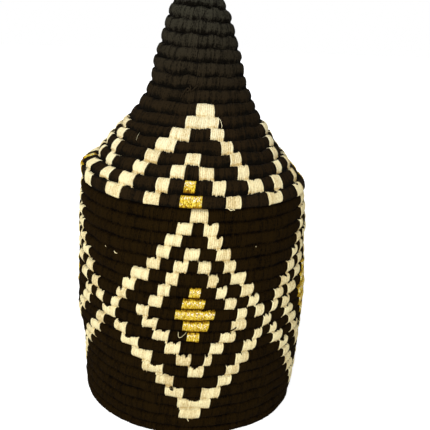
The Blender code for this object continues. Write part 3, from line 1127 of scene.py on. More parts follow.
    def sleeve(self, store: MeshStore, patch: Patch) -> None:
        """Wraps one coloured patch over its row, four columns of points to a wrap.

        Each end bows outwards or inwards by its own amount, and the last wraps roll down and may reach
        further at their feet. A patch's seed is worked out from its own place.

        Args:
            store: Where the tube goes.
            patch: The patch.
        """
        middle = (patch.low + patch.high) / 2
        radius = float(self.line.radius(self.pitch * (middle + 0.5)))
        due = round(FULL_TURN * radius * (patch.high - patch.low) / self.wrap)
        wraps = max(self.LEAST_PATCH_WRAPS, due)
        draw = np.random.default_rng([self.seed, int(patch.low * 10007) % 99991 + 7])
        second = self.SECOND_RING
        phase = np.concatenate([[0.0, second], np.arange(1, 4 * wraps) / 4.0, [wraps - second, wraps]])
        turn = patch.low + (patch.high - patch.low) * self.uneven_wraps(wraps, phase, draw)
        owner = np.clip(phase.astype(int), 0, wraps - 1)
        across = np.abs(2 * (phase - owner) - 1)
        rib = self.rib * across**2.2 + draw.uniform(-self.PATCH_UNEVEN, self.PATCH_UNEVEN, wraps)[owner]
        from_end = np.minimum(phase, wraps - phase)
        roll = self.ROLL * np.clip(1 - from_end / self.ROLL_OVER, 0.0, 1.0) ** 2
        end = np.zeros_like(phase)
        end[[0, -1]], end[[1, -2]] = self.END_RINGS
        reach = draw.uniform(*self.PATCH_FEET, wraps)
        reach[[0, -1]] = draw.uniform(*self.END_FEET, 2)
        foil = patch.kind is YarnKind.GOLD
        foot = reach[owner] * (1 - 0.5 * across**2) * self.tooth
        shares, depths = self.patch_ring(turn, foot, rib, end, roll, foil)
        side = np.clip((phase / wraps - 0.5) * 2, -1.0, 1.0)
        bow = np.where(side < 0, *draw.uniform(*self.BOW, 2)) * side**3 * (not foil)
        bow = bow[:, None] * (1 - np.clip(2 * shares - 1, -1.0, 1.0) ** 2)
        slant = self.SLANT * patch.jitter * (shares - 0.5) * self.pitch
        slant = (bow + slant) / (FULL_TURN * radius)
        points = self.place(turn[:, None] + slant, shares, depths)
        shade = 0.5 + self.PATCH_SHADE * patch.jitter + self.WRAP_SHADE * draw.uniform(-1, 1, wraps)[owner]
        store.add_tube(points, phase + draw.integers(0, 1000), shares, shade)


def dress(piece: bpy.types.Object, body: str, kind: YarnKind, *nodes: str) -> None:
    """Puts a finished piece on its body in place of CAD nodes, and reports it.

    Args:
        piece: The piece.
        body: The body that it rides on.
        kind: Its yarn; its slot is read but not used.
        *nodes: The CAD nodes that it stands for.
    """
    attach(piece, body)
    kind.slot
    if nodes:
        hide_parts(*nodes)
    faces = len(piece.data.polygons)
    LOG.info("%s: %d faces, stands for %s", piece.name, faces, ", ".join(nodes) or "no node")


class Figure(Enum):
    """The figures that nest in one motif, each with the middle of its nodes' names and its yarn."""

    OUTER = ("white_outer", YarnKind.WHITE)
    INNER = ("white_inner", YarnKind.WHITE)
    GOLD = ("gold", YarnKind.GOLD)


@dataclass
class Motifs:
    """The stepped lozenges or chevrons round a coil, one of them charted and the others worked out."""

    centres: tuple[float, ...]
    seed: int
    coil_break: float = 240.0

    def about(self, index: int) -> tuple[float, float, float]:
        """A motif's place on the coil's own count of angles, which breaks behind the left side.

        Args:
            index: The motif's number from 0.

        Returns:
            Its centre, and half the angles to the centres before and after it, in degrees.
        """
        here = self.centres[index]
        before = (here - self.centres[index - 1]) % 360.0
        after = (self.centres[(index + 1) % len(self.centres)] - here) % 360.0
        return (here if here < self.coil_break else here - 360.0), before / 2, after / 2


class Weave:
    """Collects a coil's patches from row and angle pairs."""

    NOTCH_ODDS = (0.28, 0.5, 0.22)

    def __init__(self, prefix: str, row_turn: RowTurn, seed: int) -> None:
        """Starts an empty list.

        Args:
            prefix: The start of the CAD nodes' names.
            row_turn: A function that gives the turn of a row at the front.
            seed: The seed of the patches' small differences.
        """
        self.prefix = prefix
        self.row_turn = row_turn
        self.draw = np.random.default_rng(seed)
        self.patches: list[Patch] = []
        self.motif = 1

    def add(self, row: int, figure: Figure, *ends: float) -> None:
        """Adds patches to one figure of the present motif on one row.

        Args:
            row: The row.
            figure: The figure.
            *ends: The left and the right end of each patch in turn, in degrees.
        """
        middle, kind = figure.value
        node = f"{self.prefix}_{middle}_{self.motif}"
        base = self.row_turn(row)
        for low, high in zip(ends[::2], ends[1::2]):
            notch = list(NotchStyle)[int(self.draw.choice(3, p=self.NOTCH_ODDS))]
            if kind is YarnKind.GOLD:
                notch = NotchStyle.SMALL
            jitter = float(self.draw.uniform(-1.0, 1.0))
            self.patches.append(Patch(base + low / 360.0, base + high / 360.0, kind, node, notch, jitter))


class Coilwork:
    """What the base and the lid share: one coil whose stretches, coloured patches and loose ends are pieces.

    Each says its body, the start of its names, the yarn of its rows, its charts and its loose ends, and has
    its own motifs, coil, stretches and worked-out motifs.
    """

    BODY: str
    PREFIX: str
    YARN: YarnKind
    CHARTS: dict[Figure, Chart]
    STRAYS: dict[YarnKind, tuple[Stray, ...]]
    motifs: Motifs

    def weave(self) -> list[Patch]:
        """Collects the patches, those of the charted motif first and then the worked-out ones.

        Returns:
            The patches.
        """
        weave = Weave(self.PREFIX, self.row_turn, self.motifs.seed)
        for figure, chart in self.CHARTS.items():
            for row, ends in chart.items():
                weave.add(row, figure, *ends)
        for index in range(1, len(self.motifs.centres)):
            weave.motif = index + 1
            self.worked_out(weave, index)
        return weave.patches

    def build(self, materials: Materials) -> None:
        """Builds and dresses the stretches of the coil, its patches by CAD node, and its loose ends by yarn.

        Args:
            materials: The yarns' materials.
        """
        coil = self.coil()
        for name, node, start, stop in self.stretches(coil):
            store = MeshStore()
            coil.wind(store, start, stop)
            dress(store.build(name, materials[self.YARN]), self.BODY, self.YARN, node)
        for node in sorted({patch.node for patch in coil.patches}):
            own = [patch for patch in coil.patches if patch.node == node]
            kind = own[0].kind
            store = MeshStore()
            for patch in own:
                coil.sleeve(store, patch)
            dress(store.build(node + "_yarn", materials[kind]), self.BODY, kind, node)
        for kind, strays in self.STRAYS.items():
            store = MeshStore()
            for stray in strays:
                coil.strand(store, stray, self.row_turn)
            dress(store.build(f"{self.PREFIX}_loose_{kind.label}", materials[kind]), self.BODY, kind)


@dataclass
class BasketBase(Coilwork):
    """The base: one coil from its rim down the side and in to the middle of the floor, and a stitched lip."""

    height: float
    rim_radius: float = 0.0815
    belly_radius: float = 0.0865
    belly_height: float = 0.084
    foot_radius: float = 0.0805
    corner_radius: float = 0.0038
    row: float = 0.0084
    rows_of_pattern: int = 18
    above_joint: float = 0.006
    coil_end: float = -0.46
    end_taper: float = 0.14
    lip_rows: int = 2
    lip_thickness: float = 0.0053
    lip_groove: float = 0.0014
    lip_inset: float = 0.0011
    lip_lean: float = 0.30
    lip_lean_below: float = 0.002
    floor_end: float = 0.05
    calm_floor: float = 0.010
    gold_widths: tuple[float, ...] = (1.0, 1.0, 1.0, 1.0, 0.6)
    motifs: Motifs = field(default_factory=lambda: Motifs((2.0, 73.5, 141.0, 207.0, 274.5), seed=5))

    BODY = "basket"
    PREFIX = "base"
    YARN = YarnKind.BLACK
    WALL_TURNS = 20.0

    # The left and right ends of the front lozenge's patches, in degrees from the front, by row from the rim.
    OUTER = {
        1: (-1, 7), 2: (-7, 0, 5, 11.5), 3: (-12, -4.5, 7, 13.5), 4: (-15.5, -9.5, 11, 17.5),
        5: (-20, -14, 14.5, 20), 6: (-27.5, -19, 18, 25), 7: (-32, -25.5, 23, 29), 8: (-35, -30, 27, 32),
        9: (-38.5, -34, 31, 35.5), 10: (-44.5, -36.5, 35.5, 40.5), 11: (-36.5, -30, 30.5, 35),
        12: (-32.5, -23.5, 25.5, 32), 13: (-27, -17, 22, 28.5), 14: (-21.5, -11.5, 17.5, 24),
        15: (-15, -6.5, 14, 20.5), 16: (-10.5, -2, 6.5, 15.5), 17: (-4.5, 11), 18: (-3.5, 6.5),
    }
    INNER = {
        4: (-3, 3.5), 5: (-7.5, -1.5, 3, 8.5), 6: (-11, -5.5, 7.5, 11.5), 7: (-14.5, -9, 11.5, 16),
        8: (-18.5, -12.5, 15.5, 20.5), 9: (-24.5, -18.5, 21.5, 26), 10: (-21.5, -14.5, 19, 26),
        11: (-16.5, -9, 14, 21), 12: (-10.5, -4, 9.5, 15.5), 13: (-5.5, 1, 7, 10.5), 14: (0, 7),
    }
    GOLD = {7: (-0.5, 4.5), 8: (-3.5, 6.5), 9: (-6.5, 11), 10: (-3, 8.5), 11: (-1, 4.5)}
    CHARTS = {Figure.OUTER: OUTER, Figure.INNER: INNER, Figure.GOLD: GOLD}

    # Widths of the worked-out arms in degrees: outer ones by row and elsewhere, inner ones in row 9 and
    # elsewhere, and half the patch where two lozenges meet.
    ARM_WIDTHS = {8: 5.4, 9: 4.6, 11: 6.0, 12: 7.4, 13: 8.0}
    ARM_WIDTH = 6.8
    INNER_WIDTHS = {9: 5.2}
    INNER_WIDTH = 7.0
    HALF_MEETING = 3.7

    # Outer arms: their first and last reach towards the neighbours, as rows from the top and from the foot.
    TOP_START, TOP_ROWS, FOOT_ROW, FOOT_ROWS = 0.35, 9.6, 18.9, 8.0
    # Arms nearer than this to each other are one patch, of at least this half width.
    JOIN_GAP, LEAST_HALF = 0.6, 5.0
    # A split patch: how far it reaches beyond its half width, and half its gap.
    SPLIT_REACH, SPLIT_GAP = 2.5, 2.0
    # Inner arms: their slope against the outer ones, the rows that their top and foot are moved by, and how
    # far they stay from the middle at the least.
    INNER_SLOPE, INNER_DOWN, INNER_UP, INNER_GAP = 1.06, 3, 4, 1.8

    # Rows whose outer patch is split in two, those of the inner lozenge's tips with half the tips' width,
    # and half the width of each gold patch.
    SPLIT_ROWS = (2, 16)
    INNER_TIPS = (4, 14)
    HALF_TIP = 4.0
    GOLD_HALVES = {7: 2.8, 8: 5.6, 9: 9.2, 10: 6.0, 11: 3.2}

    # Degrees by which the near arm of each lozenge beside it stays back from the worked-out steps, and how
    # much of that the arm's other end moves by on the right-hand lozenge.
    TRIM_BACK = 0.4
    TRIMS = {
        1: {2: 3.8, 3: 4.4, 4: 3.4, 5: 2.2, 6: 2.0, 9: 1.7, 11: 1.6, 13: 2.3, 14: 1.4},
        4: {4: 2.7, 5: 2.3, 6: 3.1, 7: 1.9, 8: 1.1, 9: 1.7, 11: 1.3, 15: 2.2},
    }

    # The same for the left and right arms of their inner lozenges, in a few rows above the middle.
    INNER_TRIMS = {1: (3.0, 0.0), 4: (0.0, 3.0)}
    INNER_TRIMMED = range(5, 8)

    # Loose threads by yarn: thickness, and places in degrees, rows with their part, and mm of lift.
    STRAYS = {
        YarnKind.WHITE: (
            (0.00026, (
                (-4.5, 10.95, 0.3), (-4.8, 11.25, 0.8), (-4.3, 11.5, 0.9),
                (-3.2, 11.4, 0.9), (-2.0, 11.1, 0.8), (-0.9, 10.95, 0.2),
            )),
            (0.0007, ((11.6, 6.25, 0.1), (11.8, 6.45, 0.7), (11.9, 6.7, 0.2))),
            (0.0003, ((-43.5, 5.0, 0.1), (-43.1, 5.05, 0.5), (-42.7, 5.1, 0.1))),
            (0.0006, ((-37.6, 5.15, 0.1), (-36.4, 5.25, 0.8), (-35.2, 5.3, 0.5))),
            (0.0005, ((0.4, 18.95, -0.6), (0.6, 19.1, 0.6), (0.8, 19.2, 0.1))),
            (0.00026, ((29.1, 4.1, 0.1), (29.4, 4.15, 0.5), (29.7, 4.15, 0.1))),
        ),
        YarnKind.BLACK: (
            (0.0010, ((17.4, 10.85, 0.0), (18.6, 10.8, 1.5), (20.2, 10.65, 1.5), (21.0, 10.55, 1.0))),
            (0.0009, (
                (-6.4, 16.2, 0.4), (-7.4, 16.15, 1.3), (-7.6, 15.95, 1.5),
                (-7.0, 15.85, 1.4), (-6.6, 15.98, 1.2), (-7.0, 16.2, 0.9),
            )),
        ),
    }

    def side(self, height: Array) -> Array:
        """Crest radius of the side: two parabolas that meet at the belly.

        Args:
            height: Heights over the ground.

        Returns:
            The radii.
        """
        above = (height - self.belly_height) / (self.height - self.belly_height)
        below = (self.belly_height - height) / self.belly_height
        upper = self.belly_radius - (self.belly_radius - self.rim_radius) * above**2
        lower = self.belly_radius - (self.belly_radius - self.foot_radius) * below**2
        return np.where(height > self.belly_height, upper, lower)

    def outline(self) -> SectionLine:
        """The side, a quarter circle under it, and the floor in to its middle, counted from the joint.

        Returns:
            The line.
        """
        heights = np.linspace(self.height + self.above_joint, self.corner_radius, 600)
        radii = self.side(heights)
        turn = np.linspace(0.0, math.pi / 2, 60)[1:]
        corner_r = radii[-1] - self.corner_radius * (1 - np.cos(turn))
        corner_z = self.corner_radius * (1 - np.sin(turn))
        floor_r = np.linspace(corner_r[-1], 0.0, 200)[1:]
        return SectionLine(
            np.concatenate([radii, corner_r, floor_r]),
            np.concatenate([heights, corner_z, np.zeros_like(floor_r)]),
            zero_height=self.height,
        )

    @staticmethod
    def row_turn(row: float) -> float:
        """Turn of a row at the front, where row 1 is the first under the rim row."""
        return row - 1.0

    def progress(self, row: int) -> float:
        """Share of the half gap that the outer arms have reached at a row."""
        return min((row + self.TOP_START) / self.TOP_ROWS, (self.FOOT_ROW - row) / self.FOOT_ROWS, 1.0)

    def worked_out(self, weave: Weave, index: int) -> None:
        """Adds a lozenge that isn't charted, from the same steps as the charted one.

        Args:
            weave: Where its patches go.
            index: The motif's number from 0.
        """
        centre, before, after = self.motifs.about(index)
        draw = np.random.default_rng([self.motifs.seed, index])
        last_motif = index + 1 == len(self.motifs.centres)
        trims = self.TRIMS.get(index, {})
        for row in range(1, self.rows_of_pattern + 1):
            step = draw.uniform(-0.5, 0.5, 8)
            share = self.progress(row)
            width = self.ARM_WIDTHS.get(row, self.ARM_WIDTH)
            ends = ()
            if share * before < width + self.JOIN_GAP:
                half = max(share * before, self.LEAST_HALF)
                ends = (centre - half + step[0], centre + half + step[1])
                if row in self.SPLIT_ROWS:
                    low, high = half + self.SPLIT_REACH, self.SPLIT_GAP
                    ends = (centre - low + step[0], centre - high, centre + high, centre + low + step[1])
            elif share < 1.0:
                left, right = share * before, share * after
                high = centre - left + width + step[1]
                trim = trims.get(row, 0.0)
                if index == 1:
                    left, high = left - trim, high + self.TRIM_BACK * trim
                else:
                    right -= trim
                ends = (centre - left + step[0], high)
                ends += (centre + right - width + step[2], centre + right + step[3])
            elif not last_motif:
                place = centre + after
                ends = (place - self.HALF_MEETING + step[0], place + self.HALF_MEETING + step[1])
            weave.add(row, Figure.OUTER, *ends)
            first, last = self.INNER_TIPS
            share = min(self.progress(row - self.INNER_DOWN), self.progress(row + self.INNER_UP))
            if row in self.INNER_TIPS:
                half = self.HALF_TIP
                weave.add(row, Figure.INNER, centre - half + step[4], centre + half + step[5])
            elif first < row < last:
                left, right = self.INNER_SLOPE * share * before, self.INNER_SLOPE * share * after
                if row in self.INNER_TRIMMED:
                    left -= self.INNER_TRIMS.get(index, (0.0, 0.0))[0]
                    right -= self.INNER_TRIMS.get(index, (0.0, 0.0))[1]
                wide = self.INNER_WIDTHS.get(row, self.INNER_WIDTH)
                wide = min(wide, left - self.INNER_GAP, right - self.INNER_GAP)
                ends = (centre - left + step[4], centre - left + wide)
                ends += (centre + right - wide, centre + right + step[5])
                weave.add(row, Figure.INNER, *ends)
            half = self.GOLD_HALVES.get(row, 0.0) * self.gold_widths[index]
            if half:
                weave.add(row, Figure.GOLD, centre - half, centre + half)

    def coil(self) -> Coil:
        """The base's coil with its patches.

        Returns:
            The coil.
        """
        line = self.outline()
        turns = line.end / self.row
        floor = line.distance(self.corner_radius)
        return Coil(
            line,
            self.row,
            first_turn=self.coil_end,
            last_turn=turns - self.floor_end,
            start_taper=self.end_taper,
            patches=self.weave(),
            shifts=[
                Wander(0.00042, seed=11),
                Spot(2.0, 0.056, 0.0011, round=26.0, down=0.012),
                Spot(2.0, 0.092, -0.0009, round=26.0, down=0.012),
            ],
            dents=[
                Wander(0.00042, seed=12, waves=12, longest_round=23, down_scale=520.0),
                Spot(-84.0, 0.120, 0.0036, round=42.0, down=0.034),
                Spot(-84.0, 0.054, 0.0010, round=36.0, down=0.016),
                Spot(-84.0, 0.098, -0.0019, round=36.0, down=0.013),
                Spot(84.0, 0.046, 0.0014, round=36.0, down=0.014),
                Spot(84.0, 0.114, 0.0006, round=36.0, down=0.020),
            ],
            leans=[
                Spot(84.0, 0.0, 0.0011, round=40.0, down=0.018),
                Spot(-84.0, 0.0, -0.0011, round=40.0, down=0.022),
            ],
            calm_near=(0.0, floor + self.calm_floor),
            seed=21,
            seat_top=True,
        )

    def lip(self) -> Coil:
        """The stitched lip: level rows inside the rim, that lean in above it to clear the lid.

        Returns:
            Its coil.
        """
        low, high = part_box("base_lip")
        radius = high.x
        bottom, top = low.z, high.z
        heights = np.linspace(top, bottom, 80)
        above = np.clip(heights - self.height + self.lip_lean_below, 0.0, None)
        inside = radius - self.lip_inset - above * self.lip_lean
        return Coil(
            SectionLine(inside, heights),
            (top - bottom) / self.lip_rows,
            first_turn=0.0,
            last_turn=1.0,
            thickness=self.lip_thickness,
            groove=self.lip_groove,
            climbs=False,
            tooth=0.5,
            seed=31,
        )

    def stretches(self, coil: Coil) -> list[tuple[str, str, float, float]]:
        """The coil's stretches, with the CAD node, the first turn and the last turn of each.

        Args:
            coil: The coil.

        Returns:
            Their names, nodes and turns.
        """
        rim_end = self.coil_end + 1.0
        wall_end = rim_end + self.WALL_TURNS
        steps = np.linspace(rim_end, wall_end, 5)
        return [
            ("base_rim_row", "base_rim", self.coil_end, rim_end),
            *((f"base_wall_rows_{i + 1}", "base_wall", steps[i], steps[i + 1]) for i in range(4)),
            ("base_floor_coil", "base_floor", wall_end, coil.last_turn),
        ]

    def build(self, materials: Materials) -> None:
        """Builds and dresses the base's pieces, the lip last.

        Args:
            materials: The yarns' materials.
        """
        super().build(materials)
        store = MeshStore()
        lip = self.lip()
        for row in range(self.lip_rows):
            level = SectionLine(lip.line.radii, lip.line.heights)
            level.along = level.along - row * lip.pitch
            lip.line = level
            lip.seed += row
            lip.wind(store, 0.0, 1.0)
        dress(store.build("base_lip_rows", materials[YarnKind.LIP]), "basket", YarnKind.LIP, "base_lip")


@dataclass
class BasketLid(Coilwork):
    """The lid: one coil from its tip down the spire and the bell to its rim."""

    foot: float
    height: float
    overhang: float = 0.0019
    rim_radius: float = 0.0815
    spire_foot_radius: float = 0.0563
    spire_top_radius: float = 0.0128
    bell_height: float = 0.071
    cap_height: float = 0.012
    row: float = 0.0094
    below_joint: float = 0.007
    tip_rows: float = 3.0
    neck_rows: float = 13.0
    start_turn: float = -0.97
    end_turn: float = 0.54
    end_taper: float = 0.14
    low_motifs: tuple[int, int] = (1, 4)
    gold_steps: tuple[float, ...] = (2.5, 1.1, 3.2, 3.2, 2.4)
    gold_shifts: tuple[float, ...] = (0.0, 8.5, 0.0, 0.0, 0.0)
    motifs: Motifs = field(default_factory=lambda: Motifs((-1.0, 86.0, 149.0, 213.0, 278.0), seed=6))

    BODY = "lid"
    PREFIX = "lid"
    # The lid's rows are black with painted light from above.
    YARN = YarnKind.LID_BLACK

    # The left and right ends of the front chevron's patches, in degrees from the front, by row from its apex.
    OUTER = {
        1: (0.5, 17.5), 2: (-8, 19), 3: (-18, -3.5, 11, 21), 4: (-25.5, -12.5, 17, 25), 5: (-30, -21, 21, 28),
        6: (-34, -26, 24, 30.5), 7: (-39, -30.5, 27.5, 36.5), 8: (-45.5, -35.8, 37, 46.5),
    }
    INNER = {
        5: (-5, 3.5), 6: (-12, -4.5, 2.5, 10.5), 7: (-18, -12, 9, 15.5), 8: (-23, -15.5, 15, 22),
    }
    GOLD = {7: (-4.5, 1), 8: (-6, 4)}
    CHARTS = {Figure.OUTER: OUTER, Figure.INNER: INNER, Figure.GOLD: GOLD}

    # The share of the tapered end that no patch reaches.
    BARE_TAPER = 0.4

    # The rows of the pattern, and those of the inner and of the gold apex.
    ROWS, INNER_APEX, GOLD_APEX = 8, 5, 7
    # How many degrees the inner arms part by in a row, and their widths: in the last row and elsewhere.
    INNER_STEP = 5.8
    INNER_WIDTHS = {8: 8.6}
    INNER_WIDTH = 6.6
    # Outer arms: the share of a row that their reach is ahead by, their widths before row 1, their
    # narrowing by row and their least width, and the one that differs, by motif and row.
    AHEAD, ARM_START, ARM_STEP, ARM_LEAST = 0.3, 17.0, 2.0, 7.4
    ARM_WIDTHS = {(4, 4): 13.0}
    # The power of the reach of the motifs that start lower.
    LOW_POWER = 1.25
    # Half the widths of the worked-out apexes by row, and of the patch where two chevrons meet, in degrees.
    APEX_HALVES = {1: 9.5, 2: 14.0, 3: 12.0}
    HALF_MEETING = 4.8
    HALF_INNER_APEX = 4.6

    # Degrees by which the near arm of each chevron beside it stays back from the worked-out steps.
    TRIMS = {1: {7: -2.6}, 4: {4: -1.0, 5: 0.6, 6: 1.2}}
    INNER_TRIMS = {1: {6: -1.5, 8: -1.7}, 4: {5: 2.0, 6: 2.6}}

    # Loose threads, told as the base's are.
    STRAYS = {
        YarnKind.WHITE: (
            (0.00035, ((18.9, 2.3, 0.1), (19.9, 2.6, 0.8), (19.6, 3.0, 0.6), (18.9, 3.2, 0.3))),
            (0.0006, ((15.0, 8.8, 0.4), (15.6, 9.05, 1.4), (16.3, 9.25, 1.7), (16.8, 9.0, 1.5))),
            (0.0005, ((17.4, 8.9, 0.4), (17.7, 9.1, 1.4), (17.3, 9.3, 1.6))),
            (0.00015, ((-42.0, 4.1, 0.2), (-41.0, 4.4, 0.9), (-40.6, 4.8, 0.3))),
        ),
        YarnKind.LID_BLACK: (
            (0.0008, (
                (-15.0, 0.9, 0.2), (-13.0, 0.5, 1.3), (-9.5, 0.1, 1.8),
                (-6.0, 0.3, 1.7), (-2.0, 0.0, 1.5), (3.0, -0.5, 2.2),
            )),
            (0.0009, ((-12.0, 0.2, 0.2), (-9.0, 0.35, 1.7), (-6.5, 0.1, 2.0), (-7.5, -0.1, 1.0))),
        ),
    }

    def side(self, height: Array) -> Array:
        """Crest radius above the rim: a straight spire plus a half cosine bell, with an elliptical cap.

        Args:
            height: Heights over the rim.

        Returns:
            The radii.
        """
        share = height / (self.height - self.cap_height)
        spire = self.spire_foot_radius + (self.spire_top_radius - self.spire_foot_radius) * share
        phase = np.clip(height / self.bell_height, 0.0, 1.0)
        flare = self.rim_radius + self.overhang - self.spire_foot_radius
        bell = flare * (1 + np.cos(math.pi * phase)) / 2
        into_cap = np.clip((height - (self.height - self.cap_height)) / self.cap_height, 0.0, 1.0)
        return (spire + bell) * np.sqrt(1 - into_cap**2)

    def outline(self) -> SectionLine:
        """The lid's side from its tip down past its rim, counted from the tip.

        Returns:
            The line.
        """
        share = np.linspace(0.0, 1.0, 900)
        heights = self.height - (self.height + self.below_joint) * share**1.5
        return SectionLine(self.side(heights), heights + self.foot)

    def row_turn(self, row: float) -> float:
        """Turn of a row at the front, where row 8 of the pattern is the last above the rim."""
        return round(self.outline().distance(self.foot) / self.row) - (self.ROWS + 1.0) + row

    def worked_out(self, weave: Weave, index: int) -> None:
        """Adds a chevron that isn't charted, from the same steps as the charted one.

        Args:
            weave: Where its patches go.
            index: The motif's number from 0.
        """
        centre, before, after = self.motifs.about(index)
        draw = np.random.default_rng([self.motifs.seed, index])
        last_motif = index + 1 == len(self.motifs.centres)
        apex = 3 if index in self.low_motifs else 1
        for row in range(1, self.ROWS + 1):
            step = draw.uniform(-0.6, 0.6, 8)
            share = min((row + self.AHEAD) / self.ROWS, 1.0)
            width = max(self.ARM_LEAST, self.ARM_START - self.ARM_STEP * row)
            width = self.ARM_WIDTHS.get((index, row), width)
            if row < apex:
                continue
            ends = ()
            if row <= 2 or row == apex:
                half = self.APEX_HALVES[row]
                ends = (centre - half + step[0], centre + half + step[1])
            elif row < self.ROWS:
                left = (share**self.LOW_POWER if apex == 3 else share) * before
                right = share * after
                trim = self.TRIMS.get(index, {}).get(row, 0.0)
                left, right = (left - trim, right) if index == 1 else (left, right - trim)
                ends = (centre - left + step[0], centre - left + width + step[1])
                ends += (centre + right - width + step[2], centre + right + step[3])
            elif not last_motif:
                place = centre + after
                ends = (place - self.HALF_MEETING + step[0], place + self.HALF_MEETING + step[1])
            weave.add(row, Figure.OUTER, *ends)
            trim = self.INNER_TRIMS.get(index, {}).get(row, 0.0)
            reach = self.INNER_STEP * (row + 1 - self.INNER_APEX)
            if row == self.INNER_APEX and index == self.low_motifs[0]:
                continue
            if row == self.INNER_APEX:
                half = self.HALF_INNER_APEX
                weave.add(row, Figure.INNER, centre - half + step[4], centre + half - trim + step[5])
            elif row > self.INNER_APEX:
                wide = self.INNER_WIDTHS.get(row, self.INNER_WIDTH)
                left, right = (reach - trim, reach) if index == 1 else (reach, reach - trim)
                ends = (centre - left + step[4], centre - reach + wide)
                ends += (centre + reach - wide, centre + right + step[5])
                weave.add(row, Figure.INNER, *ends)
            if row >= self.GOLD_APEX:
                half = self.gold_steps[index] * (row + 1 - self.GOLD_APEX)
                middle = centre + self.gold_shifts[index]
                weave.add(row, Figure.GOLD, middle - half, middle + half)

    def coil(self) -> Coil:
        """The lid's coil with its patches, less those that would lie on its tapered end.

        Returns:
            The coil.
        """
        line = self.outline()
        length = line.distance(self.foot)
        rows = round(length / self.row)
        last = rows - 1.0 + self.end_turn + self.end_taper
        patch_end = last - self.BARE_TAPER * self.end_taper
        patches = [patch for patch in self.weave() if patch.high < patch_end]
        return Coil(
            line,
            length / rows,
            first_turn=self.start_turn,
            last_turn=last,
            end_taper=self.end_taper,
            patches=patches,
            shifts=[
                Wander(0.00060, seed=13, down_scale=230.0),
                Spot(0.0, length - 0.040, -0.0021, down=0.045),
                Spot(72.0, length - 0.034, -0.0026, round=42.0, down=0.040),
                Spot(-72.0, length - 0.036, -0.0016, round=30.0, down=0.014),
                Spot(-84.0, length - 0.060, 0.0022, round=34.0, down=0.010),
            ],
            dents=[
                Wander(0.00055, seed=14, waves=12, longest_round=15, down_scale=420.0),
                Spot(84.0, length - 0.028, 0.0048, round=44.0, down=0.032),
                Spot(-84.0, length - 0.0105, -0.0050, round=40.0, down=0.0060),
                Spot(-84.0, length - 0.021, 0.0010, round=40.0, down=0.006),
                Spot(-84.0, length - 0.031, 0.0009, round=40.0, down=0.009),
                Spot(-84.0, length - 0.060, 0.0016, round=40.0, down=0.010),
                Spot(-84.0, length - 0.083, 0.0022, round=48.0, down=0.015),
                Spot(-84.0, length - 0.115, 0.0018, round=40.0, down=0.007),
                Spot(84.0, length - 0.156, 0.0036, round=60.0, down=0.014),
                Spot(0.0, length - 0.152, 0.0014, round=4000.0, down=0.028),
                Spot(0.0, length - 0.118, -0.0007, down=0.010),
            ],
            leans=[Spot(84.0, length - 0.004, 0.0013, round=40.0, down=0.014)],
            calm_near=(length,),
            groove=0.0033,
            rib=0.00040,
            seed=41,
            tooth=1.1,
            seat_bottom=True,
        )

    def stretches(self, coil: Coil) -> list[tuple[str, str, float, float]]:
        """The coil's stretches, with the CAD node, the first turn and the last turn of each.

        Args:
            coil: The coil.

        Returns:
            Their names, nodes and turns.
        """
        rim_start = coil.last_turn - self.end_taper - 1.0
        bell = (self.tip_rows, self.neck_rows, rim_start)
        return [
            ("lid_tip_coil", "lid_tip", coil.first_turn, self.tip_rows),
            *((f"lid_bell_rows_{i + 1}", "lid_bell", bell[i], bell[i + 1]) for i in range(2)),
            ("lid_rim_row", "lid_rim", rim_start, coil.last_turn),
        ]


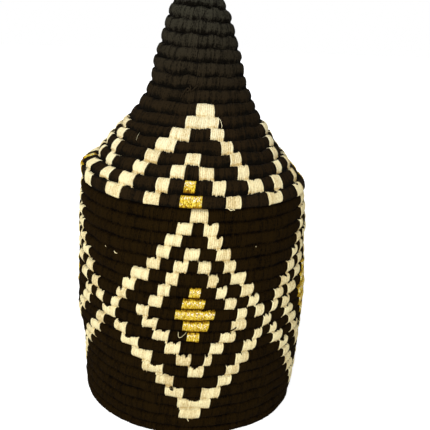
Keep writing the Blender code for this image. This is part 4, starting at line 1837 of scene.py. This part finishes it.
@dataclass
class Studio:
    """The pale ground, the soft lamps, the white surround and the camera of the photograph.

    A lamp is told by its name, place, size and power.
    """

    camera_distance: float = 0.499
    camera_height: float = 0.2913
    pitch_down: float = 17.04
    roll: float = 1.80
    lens: float = 57.86
    sensor: float = 36.0
    shift_right: float = 0.0515
    nearest: float = 0.01
    ground_size: float = 8.0
    ground_drop: float = 0.0001
    surround: float = 0.30
    lamps: tuple[tuple[str, tuple[float, float, float], float, float], ...] = (
        ("key", (-0.35, -1.32, 0.60), 0.9, 18.7),
        ("top", (0.3, 0.2, 1.6), 1.2, 4.5),
    )
    aim_height: float = 0.17

    def camera(self) -> None:
        """Sets the camera where the fitted rows put it, with the photograph's small roll."""
        data = bpy.data.cameras.new("view")
        data.lens = self.lens
        data.sensor_width = self.sensor
        data.sensor_fit = "HORIZONTAL"
        data.shift_x = self.shift_right
        data.clip_start = self.nearest
        camera = linked("view", data)
        tilt = Matrix.Rotation(math.radians(90.0 - self.pitch_down), 4, "X")
        turn = Matrix.Rotation(math.radians(self.roll), 4, "Z")
        place = Matrix.Translation((0.0, -self.camera_distance, self.camera_height))
        camera.matrix_world = place @ tilt @ turn
        bpy.context.scene.camera = camera

    def lamp(self, name: str, place: Vector, size: float, power: float) -> None:
        """Adds a square soft lamp that faces the middle of the basket.

        Args:
            name: Its name.
            place: Where it stands.
            size: The length of its sides.
            power: Its power in watts.
        """
        data = bpy.data.lights.new(name, "AREA")
        data.shape = "SQUARE"
        data.size = size
        data.energy = power
        lamp = linked(name, data)
        lamp.location = place
        aim = Vector((0.0, 0.0, self.aim_height)) - place
        lamp.rotation_euler = aim.to_track_quat("-Z", "Y").to_euler()

    def world(self) -> None:
        """Lights the surround evenly, and shows it white to the camera, to metal and through glass."""
        nodes = Nodes(bpy.data.worlds.new("surround"))
        path = nodes.add("LightPath").outputs
        seen = nodes.maths("MAXIMUM", path["Is Camera Ray"], path["Is Glossy Ray"])
        seen = nodes.maths("MAXIMUM", seen, path["Is Transmission Ray"])
        strength = nodes.maths("MULTIPLY_ADD", seen, 1.0 - self.surround, self.surround)
        back = nodes.add("Background", {"Color": WHITE_LIGHT, "Strength": strength}).outputs[0]
        bpy.context.scene.world = nodes.finish(back, "OutputWorld")

    def ground(self) -> None:
        """Lays the ground under the basket."""
        half = self.ground_size / 2
        mesh = bpy.data.meshes.new("ground")
        corners = [(x * half, y * half, -self.ground_drop) for x, y in ((-1, -1), (1, -1), (1, 1), (-1, 1))]
        mesh.from_pydata(corners, [], [(0, 1, 2, 3)])
        mesh.materials.append(FloorFinish().material())
        ground = linked("ground", mesh)

    def build(self) -> None:
        """Sets up everything round the basket."""
        bpy.context.scene.view_settings.view_transform = "Standard"
        self.camera()
        self.ground()
        self.world()
        for name, place, size, power in self.lamps:
            self.lamp(name, Vector(place), size, power)


def finishes() -> Materials:
    """Makes the materials of the yarns.

    Returns:
        The materials by yarn.
    """
    # The valley and joint weights of each yarn paint shade between wraps and in the joints of the rows.
    black = YarnFinish(
        YarnKind.BLACK, (0.0138, 0.0072, 0.0012), (0.0016, 0.0008, 0.0002),
        valley=0.45, joint=0.75, mottle=1.2, sheen=0.002,
    )
    # The lid's black: a lighter, greyer copy, greyer and lighter still towards the top, all painted light
    # from above.
    lid_black = YarnFinish(
        YarnKind.LID_BLACK, (0.0185, 0.0108, 0.0040), (0.0036, 0.0028, 0.0016),
        valley=0.40, joint=1.10, mottle=1.45, sheen=0.008,
        painted_top_light=(0.0468, 0.0468, 0.0336), worn=0.05, joint_width=0.28, high=0.31, rise=2.0,
    )
    lip = YarnFinish(
        YarnKind.LIP, (0.026, 0.017, 0.009), (0.0045, 0.0030, 0.0015),
        valley=0.50, joint=0.80, mottle=1.0, sheen=0.01,
    )
    # The cream, with painted light by height: a little darker and bluer on the lid.
    white = YarnFinish(
        YarnKind.WHITE, (0.97, 0.86, 0.50), (0.58, 0.41, 0.16),
        valley=0.24, joint=0.60, mottle=0.95, sheen=0.02,
        painted_top_light=(0.93, 0.845, 0.56), worn=0.18, joint_width=0.12, low=0.16, high=0.22,
    )
    made = {finish.kind: finish.material() for finish in (black, lid_black, lip, white)}
    made[YarnKind.GOLD] = LurexFinish().material()
    return made


def main() -> None:
    """Builds the studio, the base and the lid."""
    logging.basicConfig(level=logging.INFO, format="%(name)s: %(message)s")
    Studio().build()
    materials = finishes()
    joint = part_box("base_rim")[1].z
    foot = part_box("lid_rim")[0].z
    BasketBase(height=joint).build(materials)
    BasketLid(foot=foot, height=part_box("lid_tip")[1].z - foot).build(materials)


if __name__ == "__main__":
    main()
